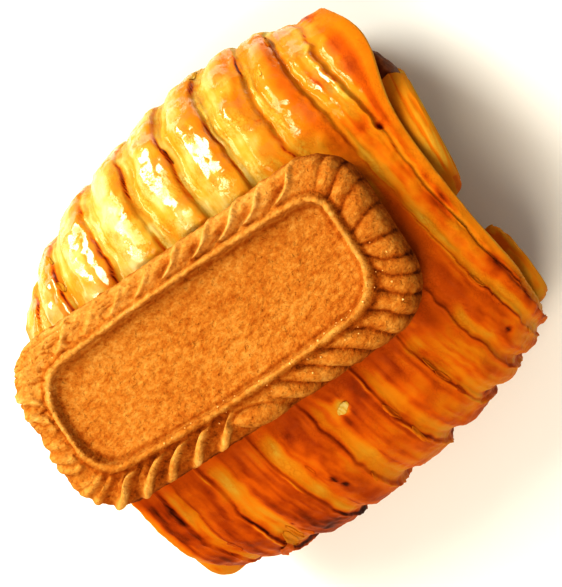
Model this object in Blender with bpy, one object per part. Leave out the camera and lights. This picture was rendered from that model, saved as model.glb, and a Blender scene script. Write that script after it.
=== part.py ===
"""Pain au chocolat with a caramelised biscuit on top, at its real size.

The pastry is one solid: a short roll of laminated dough whose skin is scored across into ribs, with
the two inner coils standing proud of the skin at both ends. Two chocolate sticks run right through
the coils, and a fluted rectangular biscuit lies on the crown. X is the axis the dough is rolled
round, +Z is up and the flat underside lies at z = 0.
"""

import math

import bmesh
import bpy
import numpy as np
from mathutils import Matrix, Vector

MM = 0.001
FIT = 0.3 * MM  # air left between pieces that touch

# The roll
ROLL_HALF_WIDTH = 34.9 * MM
ROLL_HEIGHT = 34.5 * MM
EQUATOR = 0.42  # height of the widest line, as a share of the roll's height
SQUARENESS = 2.5  # 2 is an ellipse, more is boxier
FOOT_ANGLE = math.radians(42)  # how far below the widest line the flank curls before the base
WEST_END, EAST_END = -33.2 * MM, 35.4 * MM  # where the skin stops on the centre line
WEST_TAPER, EAST_TAPER = 0.24, 0.22  # share of the width lost at each end
END_DROP = 0.16  # share of the height lost at each end
EAST_SWING = -1.5 * MM  # how far the east end lies off the centre line
NORTH_SPREAD = 0.04  # share of its width that the +Y flank gains to the east and loses to the west
NORTH_FLAT = 0.035  # share of its width that the +Y flank lacks halfway along
SKEW_PLACES = (WEST_END, 31.0 * MM, EAST_END)
SKEWS = (0.07, -0.02, 0.06)  # at those places, X gained per unit of Y: ribs and ends lie askew
BOW = 1.8 * MM  # how far east the foot of each rib lies from its top
WEST_TUCK, EAST_TUCK = 4.0 * MM, 8.0 * MM  # how far the foot of each end is drawn in under its top
TUCK_FROM = 0.45  # share of the way to an end where the drawing in begins
TUCK_LEAN = 0.3  # the east end is drawn in this much less on its +Y side, and more on its -Y side
FLARE = 5.9 * MM  # how far the +Y corner of the east edge runs out past the rest of it
FLARE_FROM = 31.5 * MM  # where on the centre line the flare begins
FLARE_SIDE, FLARE_SPAN = 0.80, 0.25  # its middle and its reach, as shares of the half width

# The ribs: where each one's crest lies on the centre line, west to east
RIB_CRESTS = [c * MM for c in (-31.0, -24.9, -13.9, -5.5, 2.8, 11.6, 19.8, 26.0, 31.2, 34.2)]
RIB_DEPTH = 1.5 * MM
SHALLOW_GAP = 0.35  # the last gap, inside the broad east band, is only a crease
GAP_SHARE = 0.36  # part of the pitch that the pale gap takes
RIB_STEPS = ((-0.30, 0.70), (0.0, 1.0), (0.26, 0.85))  # place in the pitch, share of the depth
GAP_CENTRE = 0.52  # where in the pitch the gap's floor is centred
GAP_FLOOR = 0.6  # share of the gap that is flat floor
SLOW_WANDER, QUICK_WANDER = 0.5 * MM, 0.3 * MM  # how far a rib strays along X
AROUND = 38  # points over the skin from foot to foot
UNDER = 5  # points across the flat underside
LIP_STEPS = ((0.975, 0.4), (0.94, 0.1), (0.90, -1.6), (0.70, -2.4))  # share of size, mm outward
HEART_HEIGHT = 0.45  # the middle of each end, as a share of the roll's height

# The coils of inner dough and the chocolate sticks in them: centre Y and Z, half sizes, tilt in
# degrees, how far each stands out of the skin's end, and how much farther for each metre of Y
COILS = (
    dict(y=2.5 * MM, z=16.4 * MM, wide=10.5 * MM, high=11.2 * MM, tilt=5.0, proud=4.0 * MM, lean=0.10),
    dict(y=-21.2 * MM, z=12.8 * MM, wide=6.8 * MM, high=8.0 * MM, tilt=14.0, proud=2.7 * MM, lean=0.0),
)
STICKS = (
    dict(y=12.0 * MM, z=19.0 * MM, tilt=-16.0, proud=4.7 * MM),
    dict(y=-19.0 * MM, z=13.0 * MM, tilt=72.0, proud=2.7 * MM),
)
COIL_POINTS = 28
COIL_LAYERS = (  # share of the coil's size, mm out from its face: the turns of dough, outside in
    (1.0, -8.0),
    (1.0, -2.2),
    (0.93, -0.7),
    (0.85, -0.4),
    (0.80, -1.2),
    (0.74, -0.2),
    (0.56, 0.0),
    (0.50, -0.8),
    (0.44, 0.0),
)
STICK_WIDE, STICK_HIGH = 9.0 * MM, 5.0 * MM
STICK_CORNER = 1.6 * MM
STICK_MELT = 0.5 * MM  # how much the ends of a stick have rounded
TUNNEL_SPARE = 12.0 * MM  # how far the cutting tools run past the ends of the roll

# The biscuit
BISCUIT_LONG, BISCUIT_WIDE = 62.0 * MM, 29.0 * MM
BISCUIT_CORNER = 8.5 * MM
BISCUIT_BOW = 0.9 * MM  # how far its middle lies off the line of its ends
BISCUIT_YAW = math.radians(-9.2)
BISCUIT_PITCH = math.radians(1.0)  # the east end sits higher
BISCUIT_AT = Vector((-4.6 * MM, -0.1 * MM, 33.0 * MM))  # centre of its underside
FLUTES = 44
FLUTE_STEPS = 3
FLUTE_DEPTH = 0.8 * MM
FLUTE_SLANT = 0.11 / MM  # flutes of lean per metre in from the rim
BISCUIT_PROFILE = (  # mm in from the rim, mm up, share of the flute depth sideways and upward
    (0.9, 0.0, 0.0, 0.0),
    (0.0, 0.9, 0.3, 0.0),
    (0.0, 3.8, 0.5, 0.0),
    (0.7, 5.4, 0.35, 0.3),
    (2.4, 6.3, 0.0, 0.5),
    (4.8, 6.3, 0.0, 0.1),
    (5.5, 6.9, 0.0, 0.0),
    (6.2, 6.9, 0.0, 0.0),
    (6.8, 5.7, 0.0, 0.0),
)
SINK_MARGIN = 0.05 * MM  # added to the air under the biscuit
SINK_SLOPE = 0.6  # how fast the crust rises again outside the biscuit's footprint


def clear_scene():
    """Takes away whatever the scene held."""
    for thing in list(bpy.data.objects):
        bpy.data.objects.remove(thing, do_unlink=True)


def baked(name, colour, roughness):
    """A plain Principled material for one sub-part."""
    material = bpy.data.materials.new(name)
    material.use_nodes = True
    shader = material.node_tree.nodes["Principled BSDF"]
    shader.inputs["Base Color"].default_value = (*colour, 1.0)
    shader.inputs["Roughness"].default_value = roughness
    shader.inputs["Metallic"].default_value = 0.0
    return material


def add_solid(name, points, faces, material):
    """One object from points and faces, with its faces turned outwards and shaded smooth."""
    mesh = bpy.data.meshes.new(name)
    mesh.from_pydata([tuple(p) for p in points], [], faces)
    shape = bmesh.new()
    shape.from_mesh(mesh)
    bmesh.ops.recalc_face_normals(shape, faces=shape.faces)
    shape.to_mesh(mesh)
    shape.free()
    mesh.shade_smooth()
    mesh.set_sharp_from_angle(angle=math.radians(50))
    mesh.materials.append(material)
    solid = bpy.data.objects.new(name, mesh)
    bpy.context.scene.collection.objects.link(solid)
    return solid


def as_tool(solid):
    """Marks a solid as one that only shapes another."""
    solid.hide_render = True
    solid.display_type = "WIRE"
    return solid


def skin_of_rings(rings):
    """Points and faces of a closed solid through equal rings, capped flat at the first and last."""
    count = len(rings[0])
    points = [p for ring in rings for p in ring]
    faces = []
    for k in range(len(rings) - 1):
        here, there = k * count, (k + 1) * count
        for i in range(count):
            j = (i + 1) % count
            faces.append((here + i, here + j, there + j, there + i))
    faces.append(tuple(reversed(range(count))))
    faces.append(tuple(range((len(rings) - 1) * count, len(rings) * count)))
    return points, faces


def unit_section(count):
    """The skin's section, foot to foot, evenly spaced: y from -1 to 1 and z from 0 to 1."""
    angle = np.linspace(math.pi + FOOT_ANGLE, -FOOT_ANGLE, 721)
    power = 2.0 / SQUARENESS
    across, up = np.cos(angle), np.sin(angle)
    y = np.sign(across) * np.abs(across) ** power
    above = EQUATOR + (1.0 - EQUATOR) * np.abs(up) ** power
    below = EQUATOR * (1.0 - (np.abs(up) / math.sin(FOOT_ANGLE)) ** power)
    z = np.where(up >= 0.0, above, below)
    step = np.hypot(np.diff(y) * ROLL_HALF_WIDTH, np.diff(z) * ROLL_HEIGHT)
    along = np.concatenate([[0.0], np.cumsum(step)])
    even = np.linspace(0.0, along[-1], count)
    return np.interp(even, along, y), np.interp(even, along, z)


def taper(x):
    """Shares of the full width and height left at x: a barrel, narrower to the west."""
    reach = x / (WEST_END if x < 0.0 else EAST_END)
    lost = WEST_TAPER if x < 0.0 else EAST_TAPER
    return 1.0 - lost * reach**2.4, 1.0 - END_DROP * abs(reach) ** 2.6


def tuck(x, side, down):
    """How far east a point lies from straight below the crown, down being 0 there and 1 at the foot."""
    reach = x / (WEST_END if x < 0.0 else EAST_END)
    ramp = max(0.0, (reach - TUCK_FROM) / (1.0 - TUCK_FROM)) ** 1.3
    drawn = WEST_TUCK if x < 0.0 else -EAST_TUCK * (1.0 - TUCK_LEAN * side)
    return BOW * down + drawn * ramp * down**1.2


def flare(x, side, up):
    """How far the skin's +Y corner runs out at the east end; side is -1 to 1, up 0 to 1."""
    ramp = max(0.0, (x - FLARE_FROM) / (EAST_END - FLARE_FROM)) ** 2
    return FLARE * ramp * math.exp(-(((side - FLARE_SIDE) / FLARE_SPAN) ** 2)) * up**0.7


def spread(x, side):
    """Share of the width at a place on the skin: the +Y flank is flatter, and wider to the east."""
    reach = x / EAST_END
    return 1.0 + max(0.0, side) * (NORTH_SPREAD * reach - NORTH_FLAT * (1.0 - reach**2))


def skew(x):
    """X gained per unit of Y by a rib that crosses the centre line at x."""
    return float(np.interp(x, SKEW_PLACES, SKEWS))


def wander(rib, over):
    """How far a rib strays along X at a place over the roll, -1 at one foot and 1 at the other."""
    slow = SLOW_WANDER * math.sin(2.1 * over + 1.9 * rib)
    return slow + QUICK_WANDER * math.sin(5.3 * over + 0.7 * rib)


def rib_stations():
    """(rib, x on the centre line, share of the rib's depth) for every line along the roll."""
    crests = RIB_CRESTS
    last = len(crests) - 1
    stations = []
    for rib, crest in enumerate(crests):
        west = crest - (crests[rib - 1] if rib else 2.0 * WEST_END - crest)
        east = (crests[rib + 1] if rib < last else 2.0 * EAST_END - crest) - crest
        for place, share in RIB_STEPS:
            pitch = west if place < 0.0 else east
            stations.append((rib, crest + place * pitch, share))
        if rib < last:
            floor = SHALLOW_GAP if rib == last - 1 else 0.0
            middle = crest + GAP_CENTRE * east
            half = 0.5 * GAP_SHARE * GAP_FLOOR * east
            stations.append((rib, middle - half, floor))
            stations.append((rib, middle + half, floor))
    return stations


def biscuit_turn():
    """The way the biscuit lies on the crown."""
    return Matrix.Rotation(BISCUIT_YAW, 3, "Z") @ Matrix.Rotation(-BISCUIT_PITCH, 3, "Y")


def press_under_biscuit(point):
    """Keeps a skin point clear below the biscuit's underside, which has settled into the crust."""
    local = biscuit_turn().transposed() @ (point - BISCUIT_AT)
    outside = max(abs(local.x) - BISCUIT_LONG / 2, abs(local.y) - BISCUIT_WIDE / 2, 0.0)
    ceiling = SINK_SLOPE * outside - FIT - SINK_MARGIN
    if local.z > ceiling:
        point.z -= local.z - ceiling
    return point


def skin_ring(rib, x, share, section):
    """One closed ring of the roll: over the skin from foot to foot, then back along the base."""
    wide, high = taper(x)
    ring = []
    for k, (y, z) in enumerate(zip(*section)):
        over = 2.0 * k / (AROUND - 1) - 1.0
        fade = min(1.0, 5.0 * (1.0 - abs(over)))
        relief = RIB_DEPTH * (share - 1.0) * fade
        half = ROLL_HALF_WIDTH * wide * spread(x, y) + relief
        tall = ROLL_HEIGHT * high + relief
        px = x + wander(rib, over) * fade + tuck(x, y, 1.0 - z) + flare(x, y, z)
        py = half * y + EAST_SWING * max(0.0, x / EAST_END) ** 2
        point = Vector((px + skew(x) * py, py, tall * z))
        ring.append(press_under_biscuit(point))
    west_foot, east_foot = ring[-1], ring[0]
    for k in range(1, UNDER + 1):
        ring.append(west_foot.lerp(east_foot, k / (UNDER + 1)))
    return ring


def lip_rings(edge, outward):
    """Rings that close an end: a rounded lip, then the sunken face inside it."""
    heart = sum(edge, Vector()) / len(edge)
    heart.z = HEART_HEIGHT * ROLL_HEIGHT
    rings = []
    for share, out in LIP_STEPS:
        ring = [heart + (p - heart) * share + outward * out * MM for p in edge]
        for point in ring:
            point.z = max(point.z, 0.0)
        rings.append(ring)
    return rings


def make_roll(material):
    """The skin of the roll, its rounded lip at each end and the sunken faces inside the lips."""
    section = unit_section(AROUND)
    skin = [skin_ring(rib, x, share, section) for rib, x, share in rib_stations()]
    west = lip_rings(skin[0], Vector((-1.0, 0.0, 0.0)))
    east = lip_rings(skin[-1], Vector((1.0, 0.0, 0.0)))
    points, faces = skin_of_rings(west[::-1] + skin + east)
    return add_solid("pastry", points, faces, material)


def end_plane(east, y, z):
    """Where the drawn-in, skewed end of the roll lies along X at a place on it."""
    x = EAST_END if east else WEST_END
    return x + skew(x) * y + tuck(x, y / ROLL_HALF_WIDTH, 1.0 - z / ROLL_HEIGHT)


def ellipse(coil, east, out, size):
    """A ring of dough round a coil's centre, a distance out from the coil's own face."""
    turn = math.radians(coil["tilt"])
    ring = []
    for k in range(COIL_POINTS):
        angle = 2.0 * math.pi * k / COIL_POINTS
        across = size * coil["wide"] * math.cos(angle)
        up = size * coil["high"] * math.sin(angle)
        y = coil["y"] + across * math.cos(turn) - up * math.sin(turn)
        z = coil["z"] + across * math.sin(turn) + up * math.cos(turn)
        reach = coil["proud"] + coil["lean"] * (y - coil["y"]) + out
        ring.append(Vector((end_plane(east, y, z) + (reach if east else -reach), y, z)))
    return ring


def make_coil(name, coil, material):
    """A rolled core of dough through the whole roll, layered at its ends."""
    east = [ellipse(coil, True, out * MM, size) for size, out in COIL_LAYERS]
    west = [ellipse(coil, False, out * MM, size) for size, out in COIL_LAYERS]
    points, faces = skin_of_rings(west[::-1] + east)
    return as_tool(add_solid(name, points, faces, material))


def stick_ring(stick, x, grow):
    """A rounded rectangle round a stick's axis, grown all round by a margin."""
    turn = math.radians(stick["tilt"])
    radius = STICK_CORNER + grow
    ring = []
    for corner in range(4):
        side_y = (1, -1, -1, 1)[corner] * (STICK_WIDE / 2 - STICK_CORNER)
        side_z = (1, 1, -1, -1)[corner] * (STICK_HIGH / 2 - STICK_CORNER)
        for k in range(3):
            angle = math.radians(90.0 * corner + 45.0 * k)
            across = side_y + radius * math.cos(angle)
            up = side_z + radius * math.sin(angle)
            y = stick["y"] + across * math.cos(turn) - up * math.sin(turn)
            z = stick["z"] + across * math.sin(turn) + up * math.cos(turn)
            ring.append(Vector((x, y, z)))
    return ring


def make_stick(name, stick, material):
    """A chocolate stick with its edges softened by the oven."""
    east = end_plane(True, stick["y"], stick["z"]) + stick["proud"]
    west = end_plane(False, stick["y"], stick["z"]) - stick["proud"]
    melt = STICK_MELT
    places = ((west, -melt), (west + melt, 0.0), (east - melt, 0.0), (east, -melt))
    points, faces = skin_of_rings([stick_ring(stick, x, grow) for x, grow in places])
    return add_solid(name, points, faces, material)


def make_tunnel(name, stick, material):
    """The channel that a chocolate stick fills."""
    places = (WEST_END - TUNNEL_SPARE, EAST_END + TUNNEL_SPARE)
    points, faces = skin_of_rings([stick_ring(stick, x, FIT) for x in places])
    return as_tool(add_solid(name, points, faces, material))


def boolean(target, tool, operation):
    """Joins a tool to a solid, or cuts it out."""
    step = target.modifiers.new(tool.name, "BOOLEAN")
    step.operation = operation
    step.object = tool
    step.solver = "EXACT"


def biscuit_outline(inset, count):
    """Points round the biscuit at an inset from its rim, each with its place round the rim."""
    radius = BISCUIT_CORNER
    run_x = BISCUIT_LONG / 2 - radius
    run_y = BISCUIT_WIDE / 2 - radius
    quarter = 0.5 * math.pi * radius
    total = 4.0 * (run_x + run_y + quarter)
    points = []
    for k in range(count):
        place = k / count
        s = place * total
        for side in range(4):
            straight = 2.0 * (run_x if side % 2 == 0 else run_y)
            if s < straight + quarter or side == 3:
                break
            s -= straight + quarter
        reach = (run_x, run_y) if side % 2 == 0 else (run_y, run_x)
        if s < straight:
            at = Vector((-reach[0] + s, -reach[1] - radius + inset, 0.0))
        else:
            angle = (s - straight) / radius - 0.5 * math.pi
            arm = radius - inset
            at = Vector((reach[0] + arm * math.cos(angle), -reach[1] + arm * math.sin(angle), 0.0))
        points.append((Matrix.Rotation(0.5 * math.pi * side, 3, "Z") @ at, place))
    return points


def biscuit_ring(inset, lift, aside, upward):
    """One ring of the biscuit: flutes move it sideways at the rim and up and down on the slope."""
    ring = []
    for at, place in biscuit_outline(inset, FLUTES * FLUTE_STEPS):
        wave = math.cos(2.0 * math.pi * (FLUTES * place - FLUTE_SLANT * inset)) - 1.0
        at += at.normalized() * (FLUTE_DEPTH * aside * wave)
        bow = BISCUIT_BOW * (0.5 - (2.0 * at.x / BISCUIT_LONG) ** 2)
        ring.append(Vector((at.x, at.y - bow, lift + FLUTE_DEPTH * upward * wave)))
    return ring


def make_biscuit(material):
    """A caramelised biscuit: fluted rim, narrow raised frame and a sunken bare panel."""
    rings = []
    for inset, lift, aside, upward in BISCUIT_PROFILE:
        rings.append(biscuit_ring(inset * MM, lift * MM, aside, upward))
    points, faces = skin_of_rings(rings)
    biscuit = add_solid("biscuit", points, faces, material)
    biscuit.matrix_world = Matrix.Translation(BISCUIT_AT) @ biscuit_turn().to_4x4()
    return biscuit


def main():
    """Builds every solid of the pastry."""
    clear_scene()
    crust = baked("crust", (0.62, 0.29, 0.07), 0.4)
    chocolate = baked("chocolate", (0.06, 0.018, 0.008), 0.45)
    caramel = baked("caramel_biscuit", (0.45, 0.19, 0.06), 0.85)
    pastry = make_roll(crust)
    for letter, coil in zip("ab", COILS):
        boolean(pastry, make_coil("coil_" + letter, coil, crust), "UNION")
    for letter, stick in zip("ab", STICKS):
        boolean(pastry, make_tunnel("tunnel_" + letter, stick, crust), "DIFFERENCE")
        make_stick("choc_stick_" + letter, stick, chocolate)
    make_biscuit(caramel)


main()
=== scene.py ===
# %% [markdown]
# A pain au chocolat with a caramelised biscuit on top. The packed model gives the sizes and places:
# a ribbed roll of laminated dough, two chocolate sticks right through it and one biscuit. This
# lesson gives each of them a fine surface: crisp scored ribs under a glossy egg wash, pale layers in
# the gaps, rolled coils at the ends, and a dry, sandy biscuit with a fluted rim.

# %% Load the packed model
import math
from functools import partialmethod

import bpy
import numpy as np
from mathutils import Matrix, Vector


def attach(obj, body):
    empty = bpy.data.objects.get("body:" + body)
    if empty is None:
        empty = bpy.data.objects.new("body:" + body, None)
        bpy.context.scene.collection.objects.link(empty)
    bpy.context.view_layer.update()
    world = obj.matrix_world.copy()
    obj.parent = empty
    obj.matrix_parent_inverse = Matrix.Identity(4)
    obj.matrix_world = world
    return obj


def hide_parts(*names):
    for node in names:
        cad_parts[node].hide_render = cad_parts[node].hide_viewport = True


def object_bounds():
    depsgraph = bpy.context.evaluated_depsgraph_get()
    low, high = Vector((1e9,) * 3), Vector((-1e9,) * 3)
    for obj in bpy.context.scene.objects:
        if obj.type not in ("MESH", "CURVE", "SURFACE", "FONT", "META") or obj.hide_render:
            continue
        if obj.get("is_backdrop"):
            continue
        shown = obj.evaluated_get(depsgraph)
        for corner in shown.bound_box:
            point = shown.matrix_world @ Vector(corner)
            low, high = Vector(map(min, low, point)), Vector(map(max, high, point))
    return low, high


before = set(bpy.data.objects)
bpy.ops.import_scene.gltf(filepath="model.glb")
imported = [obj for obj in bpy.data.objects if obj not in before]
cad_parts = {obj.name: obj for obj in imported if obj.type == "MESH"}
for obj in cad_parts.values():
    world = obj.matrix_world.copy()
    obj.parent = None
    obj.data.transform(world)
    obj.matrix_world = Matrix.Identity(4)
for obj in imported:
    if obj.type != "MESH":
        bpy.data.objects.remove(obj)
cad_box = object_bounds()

MM = 0.001
print("model box in mm:", [[round(v / MM, 1) for v in corner] for corner in cad_box])

# %% [markdown]
# The camera looks almost straight down, leaning a little towards the open end of the roll, and it is
# turned so that the roll runs up to the right. It could be aimed by a tracking constraint, but then
# the turn about its own axis is hard to set, so its three directions are worked out and written
# straight into its matrix. A long lens keeps the biscuit's sides nearly parallel.

# %% Camera
CAMERA_TARGET = Vector((2.2, -0.75, 17.0)) * MM
CAMERA_DISTANCE = 300.0 * MM
LEAN_EAST = math.radians(14.0)
LEAN_SOUTH = math.radians(5.0)
TURN = math.radians(43.0)
LENS = 80.1

towards = Vector((math.tan(LEAN_EAST), -math.tan(LEAN_SOUTH), 1.0)).normalized()
along_roll = (Vector((1.0, 0.0, 0.0)) - towards * towards.x).normalized()
across_roll = towards.cross(along_roll)
right = along_roll * math.cos(TURN) - across_roll * math.sin(TURN)
upward = along_roll * math.sin(TURN) + across_roll * math.cos(TURN)

camera_data = bpy.data.cameras.new("camera")
camera_data.sensor_fit = "VERTICAL"
camera_data.sensor_height = 24.0
camera_data.lens = LENS
camera_data.clip_start = 0.01
camera = bpy.data.objects.new("camera", camera_data)
camera.matrix_world = Matrix.Translation(CAMERA_TARGET + towards * CAMERA_DISTANCE) @ Matrix(
    (right, upward, towards)
).transposed().to_4x4()
bpy.context.scene.collection.objects.link(camera)
bpy.context.scene.camera = camera
print("camera leans", round(math.degrees(LEAN_EAST)), "degrees over the open end")

# %% [markdown]
# One large warm lamp low on the side of the larger coil makes the egg wash glint and rakes over the
# biscuit's grain, and a second one from above opens the shadows. A pale sky fills the far side. A sun
# lamp would be simpler, but its glints are points, and a glazed crust shows broad ones, as from a
# window, so both are area lamps. The high-contrast film curve keeps the browns as strong as they are
# on a freshly baked crust.

# %% Lamps and sky
LAMP_DISTANCE = 0.60
LAMPS = (  # name, direction, width and height in m, power, colour
    ("key_lamp", (-0.30, 0.75, 0.57), (0.26, 0.54), 4.4, (1.0, 0.88, 0.68)),
    ("fill_lamp", (-0.26, -0.36, 0.88), (0.30, 0.30), 2.4, (1.0, 0.80, 0.56)),
)
SKY_COLOUR, SKY_STRENGTH = (1.0, 0.88, 0.72, 1.0), 0.35

for name, way, size, power, colour in LAMPS:
    lamp = bpy.data.lights.new(name, "AREA")
    lamp.shape = "RECTANGLE"
    lamp.size, lamp.size_y = size
    lamp.energy = power
    lamp.color = colour
    way = Vector(way).normalized()
    holder = bpy.data.objects.new(name, lamp)
    holder.location = CAMERA_TARGET + way * LAMP_DISTANCE
    holder.rotation_euler = way.to_track_quat("Z", "Y").to_euler()
    bpy.context.scene.collection.objects.link(holder)

sky = bpy.data.worlds.new("sky")
sky.use_nodes = True
backdrop = sky.node_tree.nodes["Background"]
backdrop.inputs["Color"].default_value = SKY_COLOUR
backdrop.inputs["Strength"].default_value = SKY_STRENGTH
bpy.context.scene.world = sky
bpy.context.scene.view_settings.view_transform = "Standard"
bpy.context.scene.view_settings.look = "High Contrast"

# %% [markdown]
# Real crust is never even. Everything below that wobbles, blisters or cracks draws on one smooth
# noise, made from a small table of random heights that is blended between its points. Blender has
# noises of its own, but Python reads them one point at a time, and this one takes a whole grid at
# once. It is seeded, so the same pastry comes out each time. The other helpers are the curves that
# the shapes are written with.


# %% Smooth noise and curves
NOISE_CELLS = 64


def smoothstep(low, high, value):
    """0 below low, 1 above high, and an even S between them."""
    share = np.clip((value - low) / (high - low), 0.0, 1.0)
    return share * share * (3.0 - 2.0 * share)


def hump(away, reach, power=2):
    """1 where away is 0, falling off on both sides; a higher power has a flatter top."""
    return np.exp(-(np.abs(away / reach) ** power))


def toward(value, target, share):
    """The value moved a share of the way to its target."""
    return value + (target - value) * share


def soft_noise(u, v, seed):
    """Smooth random heights from -1 to 1, with one bump for each whole step of u and v."""
    table = np.random.default_rng(seed).uniform(-1.0, 1.0, (NOISE_CELLS, NOISE_CELLS))
    u, v = np.broadcast_arrays(u, v)
    u0, v0 = np.floor(u).astype(int), np.floor(v).astype(int)
    fu, fv = smoothstep(0.0, 1.0, u - u0), smoothstep(0.0, 1.0, v - v0)
    u1, v1 = (u0 + 1) % NOISE_CELLS, (v0 + 1) % NOISE_CELLS
    u0, v0 = u0 % NOISE_CELLS, v0 % NOISE_CELLS
    return toward(toward(table[u0, v0], table[u1, v0], fu), toward(table[u0, v1], table[u1, v1], fu), fv)


def crumple(u, v, seed, octaves=3):
    """Noise with finer and finer noise on it, each octave half as strong."""
    return sum(0.5**n * soft_noise(u * 2.0**n, v * 2.0**n, seed + n) for n in range(octaves))


print("noise sample:", round(float(crumple(1.3, 2.7, 5)), 3))

# %% [markdown]
# Each piece is a grid of points in mm: rows along it and columns round it. It could be shaped with
# modifiers instead, but in a grid the place of every point is known, so relief and colour can follow
# the ribs exactly. The same few helpers turn such a grid into a closed mesh, turn its faces outwards,
# and store what is known of each point, such as how brown it is or how much egg wash it caught, as
# named values that the materials read.


# %% Grids into meshes
def grid_faces(rows, columns, start=0):
    """Four-sided faces of a tube of rows, closed round its columns."""
    row, column = np.meshgrid(np.arange(rows - 1), np.arange(columns), indexing="ij")
    after = (column + 1) % columns
    here, there = start + row * columns, start + (row + 1) * columns
    corners = np.stack([here + column, here + after, there + after, there + column], axis=-1)
    return corners.reshape(-1, 4).tolist()


def closing_fan(ring_start, columns, middle, flip):
    """Triangles from one ring of points to a point in its middle."""
    ring = [(ring_start + k, ring_start + (k + 1) % columns) for k in range(columns)]
    return [(b, a, middle) if flip else (a, b, middle) for a, b in ring]


def closing_fold(ring_start, columns, flip):
    """Four-sided faces that close a flat ring by joining its two halves point by point."""
    faces = []
    for k in range(columns // 2 - 1):
        a, b = ring_start + k, ring_start + k + 1
        c, d = ring_start + columns - 2 - k, ring_start + columns - 1 - k
        faces.append((a, d, c, b) if flip else (a, b, c, d))
    return faces


def folded_faces(rows, columns, start=0):
    """Faces of a tube of rows whose first and last rings are folded shut."""
    last = start + (rows - 1) * columns
    folds = closing_fold(start, columns, True) + closing_fold(last, columns, False)
    return grid_faces(rows, columns, start) + folds


def volume_sign(points, faces):
    """Positive if the faces of a closed mesh point outwards, told from at most 20,000 of them."""
    a, b, c = (points[[face[k] for face in faces[:: max(1, len(faces) // 20000)]]] for k in range(3))
    return float(np.sum(a * np.cross(b, c)))


def add_piece(name, points, faces, marks=None, smooth=True):
    """One mesh object from points in mm and faces, with named values stored at its points."""
    if volume_sign(points - points.mean(axis=0), faces) < 0.0:
        faces = [tuple(reversed(face)) for face in faces]
    mesh = bpy.data.meshes.new(name)
    mesh.from_pydata((points * MM).tolist(), [], faces)
    for key, values in (marks or {}).items():
        if values.ndim == 1:
            mesh.attributes.new(key, "FLOAT", "POINT").data.foreach_set("value", values)
        else:
            mesh.attributes.new(key, "FLOAT_VECTOR", "POINT").data.foreach_set("vector", values.ravel())
    if smooth:
        mesh.shade_smooth()
    mesh.update()
    piece = bpy.data.objects.new(name, mesh)
    bpy.context.scene.collection.objects.link(piece)
    print(name, "has", len(faces), "faces")
    return piece


def tube_piece(name, grid, marks):
    """A closed piece from a grid of rows, each end closed by a fan, with its values."""
    rows, columns = grid.shape[:2]
    count = rows * columns
    faces = grid_faces(rows, columns)
    faces += closing_fan(0, columns, count, True)
    faces += closing_fan(count - columns, columns, count + 1, False)

    def with_tips(values):
        tips = [values[0].mean(axis=0), values[-1].mean(axis=0)]
        return np.concatenate([values.reshape((count,) + values.shape[2:]), tips])

    return add_piece(name, with_tips(grid), faces, {key: with_tips(v) for key, v in marks.items()})


def normals_of(grid, wrap=True):
    """Outward directions over a grid of points, from the slopes along its rows and columns."""
    if wrap:
        side = 0.5 * (np.roll(grid, -1, axis=1) - np.roll(grid, 1, axis=1))
    else:
        side = np.gradient(grid, axis=1)
    facing = np.cross(np.gradient(grid, axis=0), side)
    facing = facing / np.maximum(np.linalg.norm(facing, axis=-1, keepdims=True), 1e-6)
    outward = grid - grid.reshape(-1, 3).mean(axis=0)
    return facing if float(np.sum(facing * outward)) >= 0.0 else -facing


# %% [markdown]
# The roll is a barrel of dough. Its section is a rounded box that curls in under the widest line, it
# tapers to both ends, and its end planes are drawn in below. It could be sculpted freely, but the
# same named sizes shaped the packed solid, so a formula lays the fine skin where that solid's skin
# lies. A place on it is told by x in mm, along the roll, and by over, which runs from -1 at the south
# foot over the crown to 1 at the north foot.

# %% Shape of the roll
ROLL_HALF_WIDTH, ROLL_HEIGHT = 34.9, 34.5
EQUATOR = 0.42
SQUARENESS = 2.5
FOOT_ANGLE = math.radians(42)
WEST_END, EAST_END = -33.2, 35.4
WEST_ROW, EAST_ROW = -32.9, 34.8
WEST_TAPER, EAST_TAPER = 0.24, 0.22
END_DROP = 0.16
EAST_SWING = -1.5
NORTH_SPREAD, NORTH_FLAT = 0.04, 0.035
SKEW_PLACES = (WEST_END, 31.0, EAST_END)
SKEWS = (0.07, -0.02, 0.06)
BOW = 1.8
WEST_TUCK, EAST_TUCK = 4.0, 8.0
TUCK_FROM, TUCK_LEAN = 0.45, 0.3
FLARE, FLARE_FROM = 5.9, 31.5
FLARE_SIDE, FLARE_SPAN = 0.73, 0.30
SLOW_WANDER, QUICK_WANDER = 0.5, 0.3
RIB_CRESTS = np.array((-31.0, -24.9, -13.9, -5.5, 2.8, 11.6, 19.8, 26.0, 31.2, 34.2))
RIB_DEPTH = 1.5


def make_section():
    """Even steps along the section from foot to foot: y from -1 to 1 and z from 0 to 1."""
    angle = np.linspace(math.pi + FOOT_ANGLE, -FOOT_ANGLE, 1441)
    power = 2.0 / SQUARENESS
    across, up = np.cos(angle), np.sin(angle)
    y = np.sign(across) * np.abs(across) ** power
    above = EQUATOR + (1.0 - EQUATOR) * np.abs(up) ** power
    below = EQUATOR * (1.0 - (np.abs(up) / math.sin(FOOT_ANGLE)) ** power)
    z = np.where(up >= 0.0, above, below)
    step = np.hypot(np.diff(y) * ROLL_HALF_WIDTH, np.diff(z) * ROLL_HEIGHT)
    along = np.concatenate([[0.0], np.cumsum(step)])
    return 2.0 * along / along[-1] - 1.0, y, z, 0.5 * along[-1]


SECTION_OVER, SECTION_Y, SECTION_Z, HALF_GIRTH = make_section()


def reach_of(x):
    """How far a place is from the middle to its end of the roll, as a share."""
    return np.where(x < 0.0, x / WEST_END, x / EAST_END)


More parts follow.
